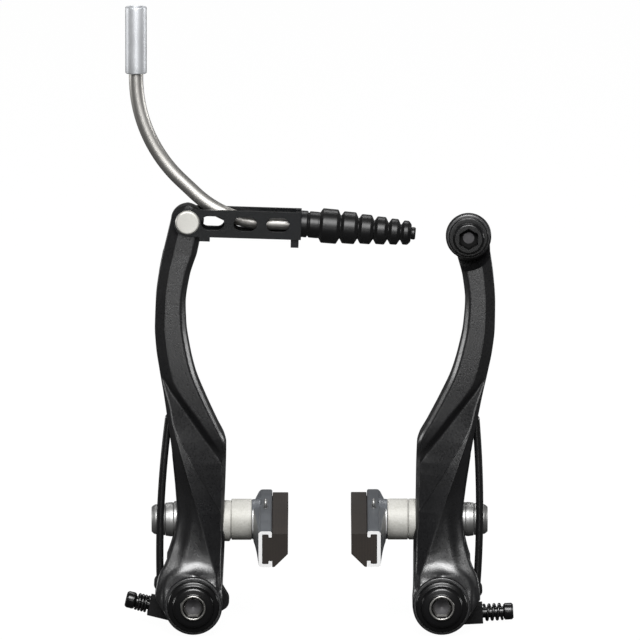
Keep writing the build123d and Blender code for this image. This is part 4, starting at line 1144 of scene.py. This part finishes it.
@dataclass
class LinkSet:
    """What hangs on the left arm's rivet: link, rivet, guide tube, liner, ferrule and boot.

    Places are pairs along X and Z from the rivet, in the link's plane.
    """

    pin: tuple[float, float] = (-36.303, 107.929)
    slope: float = 1.75
    length: float = 30.2
    end: float = 31.8
    cheek: float = 4.35
    rivet_radius: float = 3.4
    rivet_head: float = 0.8
    tube_radius: float = 2.0
    tube_corners: Knots = ((-14.3, 48.0), (-14.3, 23.22), (10.51, -0.321))
    bends: tuple[float, float] = (40.0, 30.0)
    tube_step: float = 0.4
    tube_gap: float = 0.25
    tube_nose: tuple[float, float] = (0.5, 1.4)
    ferrule_at: float = 41.5
    ferrule_length: float = 18.7
    ferrule_radius: float = 3.0
    housing_radius: float = 2.55
    housing_depth: float = 12.2
    droop: float = 5.0
    neck: float = 5.0
    neck_radius: float = 3.8
    rib_lengths: tuple[float, ...] = (5.9, 5.0, 4.4, 4.0, 3.5, 3.0)
    rib_radii: tuple[float, ...] = (4.9, 4.55, 4.2, 3.95, 3.7, 3.45)
    rib_groove: float = 1.1
    nose: float = 1.2
    nose_radius: float = 1.75

    def at(self, x: float, z: float) -> tuple[float, float, float]:
        """Point of the link's plane in the row frame."""
        return self.pin[0] + x, LINK_PLANE, self.pin[1] + z

    def on_link(self, distance: float) -> tuple[float, float]:
        """Place on the link's own axis."""
        return distance * cos(radians(self.slope)), -distance * sin(radians(self.slope))

    def rivet(self) -> None:
        """Rivet turned about Y, with a low head on each cheek."""
        face, top = self.cheek, self.cheek + self.rivet_head
        r = self.rivet_radius
        line = soften([(0.01, -top), (r - 0.35, -top), (r, -top + 0.45), (r, -face), (2.2, -face), (2.2, face),
                       (r, face), (r, top - 0.45), (r - 0.35, top), (0.01, top)], 0.2)
        build("rivet", lathe(line, self.at(0, 0), (0, 1, 0), 72), RIVET, "link_unit", ["link_pin"], Mesh.CRISP)

    def tube(self) -> None:
        """Guide tube along two straight runs and two bends, drawn in to a round nose inside the link."""
        points = [*self.tube_corners, self.on_link(self.length - self.tube_gap)]
        path = bent_line(np.array([self.at(x, z) for x, z in points]), self.bends, self.tube_step)
        left = np.arange(len(path))[::-1] * self.tube_step
        drawn, run = self.tube_nose
        size = self.tube_radius - drawn * np.clip(1 - left / run, 0, 1) ** 2
        build("bent_guide_tube", tube(path, size, (0, 1, 0), 40), STAINLESS, "noodle_unit", ["guide_tube"],
              Mesh.CRISP)

    def ferrule(self) -> None:
        """Turned ferrule with eased ends and a bore for the housing."""
        low, high, r = self.ferrule_at, self.ferrule_at + self.ferrule_length, self.ferrule_radius
        line = soften([(2.02, low), (r - 0.2, low), (r, low + 0.2), (r, high - 0.15), (r - 0.15, high),
                       (self.housing_radius, high), (self.housing_radius, high - self.housing_depth),
                       (1.5, high - self.housing_depth)], 0.12)
        build("turned_ferrule", lathe(line, self.at(self.tube_corners[0][0], 0), (0, 0, 1), 72, caps=False), TURNED,
              "noodle_unit", ["ferrule"], Mesh.CRISP)

    def boot(self) -> None:
        """Ribbed boot turned about its drooping axis: each rib has a steep front, a slight taper and a groove."""
        neck = self.neck_radius
        line = [(1.4, -0.5), (neck - 0.1, -0.5), (neck - 0.05, 1.6), (neck - 0.55, 1.85), (neck - 0.55, 2.0),
                (neck - 0.1, 2.25), (neck - 0.1, self.neck - 0.5)]
        at = self.neck
        for length, radius in zip(self.rib_lengths, self.rib_radii):
            low = max(radius - self.rib_groove - 0.15, neck - 1.6)
            line += [(low, at - 0.08), (low, at + 0.08), (radius - 0.05, at + 0.8), (radius - 0.08, at + length - 0.85)]
            at += length
        tip = self.nose_radius
        line += [(self.rib_radii[-1] - 1.0, at - 0.05), (tip - 0.1, at), (tip, at + 0.35), (tip, at + self.nose - 0.3),
                 (tip - 0.25, at + self.nose), (1.4, at + self.nose)]
        angle = radians(self.droop)
        patch = lathe(soften(line, 0.3), self.at(*self.on_link(self.end)), (cos(angle), 0, -sin(angle)), 72,
                      caps=False)
        build("ribbed_boot", patch, BOOT_RUBBER, "noodle_unit", ["boot"], Mesh.SOFT)

    def make(self) -> None:
        """Builds the set."""
        eased("link", COATED_STEEL, "link_unit", 0.5, 4)
        self.rivet()
        self.tube()
        self.ferrule()
        self.boot()
        clad("tube_liner", ACETAL)


@dataclass
class Anchor:
    """Cable anchor on the right arm: clamp washer and socket-head bolt."""

    half: Half = RIGHT
    place: tuple[float, float] = (7.4, 104.1)
    seat: float = LINK_PLANE - 5.7
    washer_radius: float = 5.55
    washer: float = 1.6
    head_radius: float = 4.4
    head: float = 3.0
    shank_radius: float = 3.0
    shank_end: float = -12.85
    key: float = 5.0
    key_depth: float = 2.6
    key_turn: float = 30.0
    columns: int = 96

    def make(self) -> None:
        """Builds washer, bolt and the two linings of its socket, a floor of painted light and walls of painted shade,
        all turned about Y.
        """
        front, wide, r, shank = self.seat - self.washer, self.washer_radius, self.head_radius, self.shank_radius
        washer = soften([(3.05, self.seat), (wide, self.seat), (wide, front), (3.05, front)], 0.3)
        top, flat = front - self.head, self.key / 2
        bottom = top + self.key_depth
        socket = [(0.01, bottom), (flat, bottom), (flat, top + 0.2), (flat + 0.12, top)]
        bolt, hexed = socketed(socket, soften([
            (3.35, top), (r - 0.45, top), (r, top + 0.45), (r, front), (shank, front), (shank, self.shank_end),
            (0.01, self.shank_end)], 0.2))
        floor = np.array([(0.01, bottom - 0.1), (1.56, bottom - 0.06)])
        well = np.array([(1.55, bottom - 0.05), (flat - 0.03, bottom - 0.05), (flat - 0.03, top + 0.22)])
        for name, line, shares, finish, nodes in (
                ("anchor_washer", washer, None, BLACK_STEEL, ["cable_anchor_washer"]),
                ("anchor_bolt", bolt, hexed, BLACK_STEEL, ["cable_anchor_bolt"]),
                # Grey socket floor, lighter than the bolt: painted light
                ("anchor_socket_floor", floor, None, SOCKET_FLOOR_LIGHT, []),
                # Near-black socket walls: painted shade
                ("anchor_socket", well, np.array([0, 1, 1]), SOCKET_SHADE, [])):
            patch = lathe(line, (0, 0, 0), (0, 1, 0), self.columns, shares, caps=line is bolt)
            patch = patch.placed(turn_y(self.key_turn), (self.place[0], 0, self.place[1]))
            build(name, self.half.place(patch, self.half.lean), finish, self.half.lever, nodes, Mesh.CRISP)


@dataclass
class Lamp:
    """One soft rectangular light."""

    name: str
    place: tuple[float, float, float]
    size: tuple[float, float]
    watts: float


@dataclass
class Studio:
    """White floor and background, soft lights and the camera of the photograph."""

    target: tuple[float, float, float] = (0.0007, -0.026, 0.0809)
    elevation: float = 9.0
    distance: float = 6.0
    width: float = 0.1786
    floor_height: float = -0.0088
    floor_half: float = 6.0
    floor_seen: str = "303030"
    floor_unseen: str = "404040"
    floor_glow: float = 0.98
    ambient: float = 0.1
    lamps: list[Lamp] = field(default_factory=lambda: [
        Lamp("key", (0.0, -0.9, 0.76), (0.6, 0.6), 26.0),
        Lamp("front", (0.0, -1.2, 0.06), (0.3, 0.22), 1.4),
        Lamp("left", (-1.15, 0.35, 0.2), (0.5, 0.3), 4.0),
        Lamp("right", (1.15, 0.35, 0.2), (0.5, 0.3), 4.0),
        Lamp("back", (0.0, 0.65, 1.15), (0.7, 0.3), 5.0),
    ])

    def camera(self) -> None:
        """A long lens, level from left to right and looking slightly down."""
        angle = radians(self.elevation)
        target = Vector(self.target)
        back = Vector((0.0, -cos(angle), sin(angle)))
        data = bpy.data.cameras.new("camera")
        data.lens = data.sensor_width * self.distance / self.width
        camera = in_scene("camera", data)
        camera.location = target + back * self.distance
        camera.rotation_euler = (-back).to_track_quat("-Z", "Y").to_euler()
        bpy.context.scene.camera = camera

    def light(self) -> None:
        """Adds the lamps, all turned to the object's middle."""
        for lamp in self.lamps:
            data = bpy.data.lights.new(lamp.name, "AREA")
            data.shape = "RECTANGLE"
            data.size, data.size_y = lamp.size
            data.energy = lamp.watts
            light = in_scene(lamp.name, data)
            light.location = lamp.place
            light.rotation_euler = (Vector(self.target) - Vector(lamp.place)).to_track_quat("-Z", "Y").to_euler()

    def world(self) -> None:
        """White to the camera, a plain grey to everything else."""
        world = bpy.data.worlds.new("studio")
        bpy.context.scene.world = world
        tree = blank_tree(world)
        seen = add_node(tree, "ShaderNodeLightPath").outputs["Is Camera Ray"]
        white = add_node(tree, "ShaderNodeBackground", {"Color": linear("FFFFFF"), "Strength": 1.0})
        grey = add_node(tree, "ShaderNodeBackground", {"Color": linear("FFFFFF"), "Strength": self.ambient})
        mix = add_node(tree, "ShaderNodeMixShader", {0: seen, 1: grey.outputs[0], 2: white.outputs[0]})
        add_node(tree, "ShaderNodeOutputWorld", {"Surface": mix.outputs[0]})

    def floor(self) -> None:
        """Pale floor: mostly white light of its own to the camera, and the rest takes the object's shadow."""
        mesh = bpy.data.meshes.new("floor")
        half, z = self.floor_half, self.floor_height
        mesh.from_pydata([(-half, -half, z), (half, -half, z), (half, half, z), (-half, half, z)], [], [(0, 1, 2, 3)])
        made = bpy.data.materials.new("white_studio_floor")
        tree = blank_tree(made)
        seen = add_node(tree, "ShaderNodeLightPath").outputs["Is Camera Ray"]
        matt = add_node(tree, "ShaderNodeBsdfDiffuse", {"Color": linear(self.floor_seen)})
        dark = add_node(tree, "ShaderNodeBsdfDiffuse", {"Color": linear(self.floor_unseen)})
        glow = add_node(tree, "ShaderNodeEmission", {"Strength": self.floor_glow})
        both = add_node(tree, "ShaderNodeAddShader", {0: matt.outputs[0], 1: glow.outputs[0]})
        mix = add_node(tree, "ShaderNodeMixShader", {0: seen, 1: dark.outputs[0], 2: both.outputs[0]})
        add_node(tree, "ShaderNodeOutputMaterial", {"Surface": mix.outputs[0]})
        mesh.materials.append(made)
        shown = in_scene("floor", mesh)

    def make(self) -> None:
        """Sets the whole studio up."""
        self.camera()
        self.light()
        self.world()
        self.floor()
        bpy.context.scene.view_settings.view_transform = "Standard"


def main() -> None:
    """Builds both halves, the link set, the anchor and the studio."""
    logging.basicConfig(level=logging.INFO, format="%(name)s %(message)s")
    for half in (LEFT, RIGHT):
        Arm(half).make()
        PivotSet(half).make()
        Shoe(half).make()
    LinkSet().make()
    Anchor().make()
    Studio().make()
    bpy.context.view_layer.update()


if __name__ == "__main__":
    main()
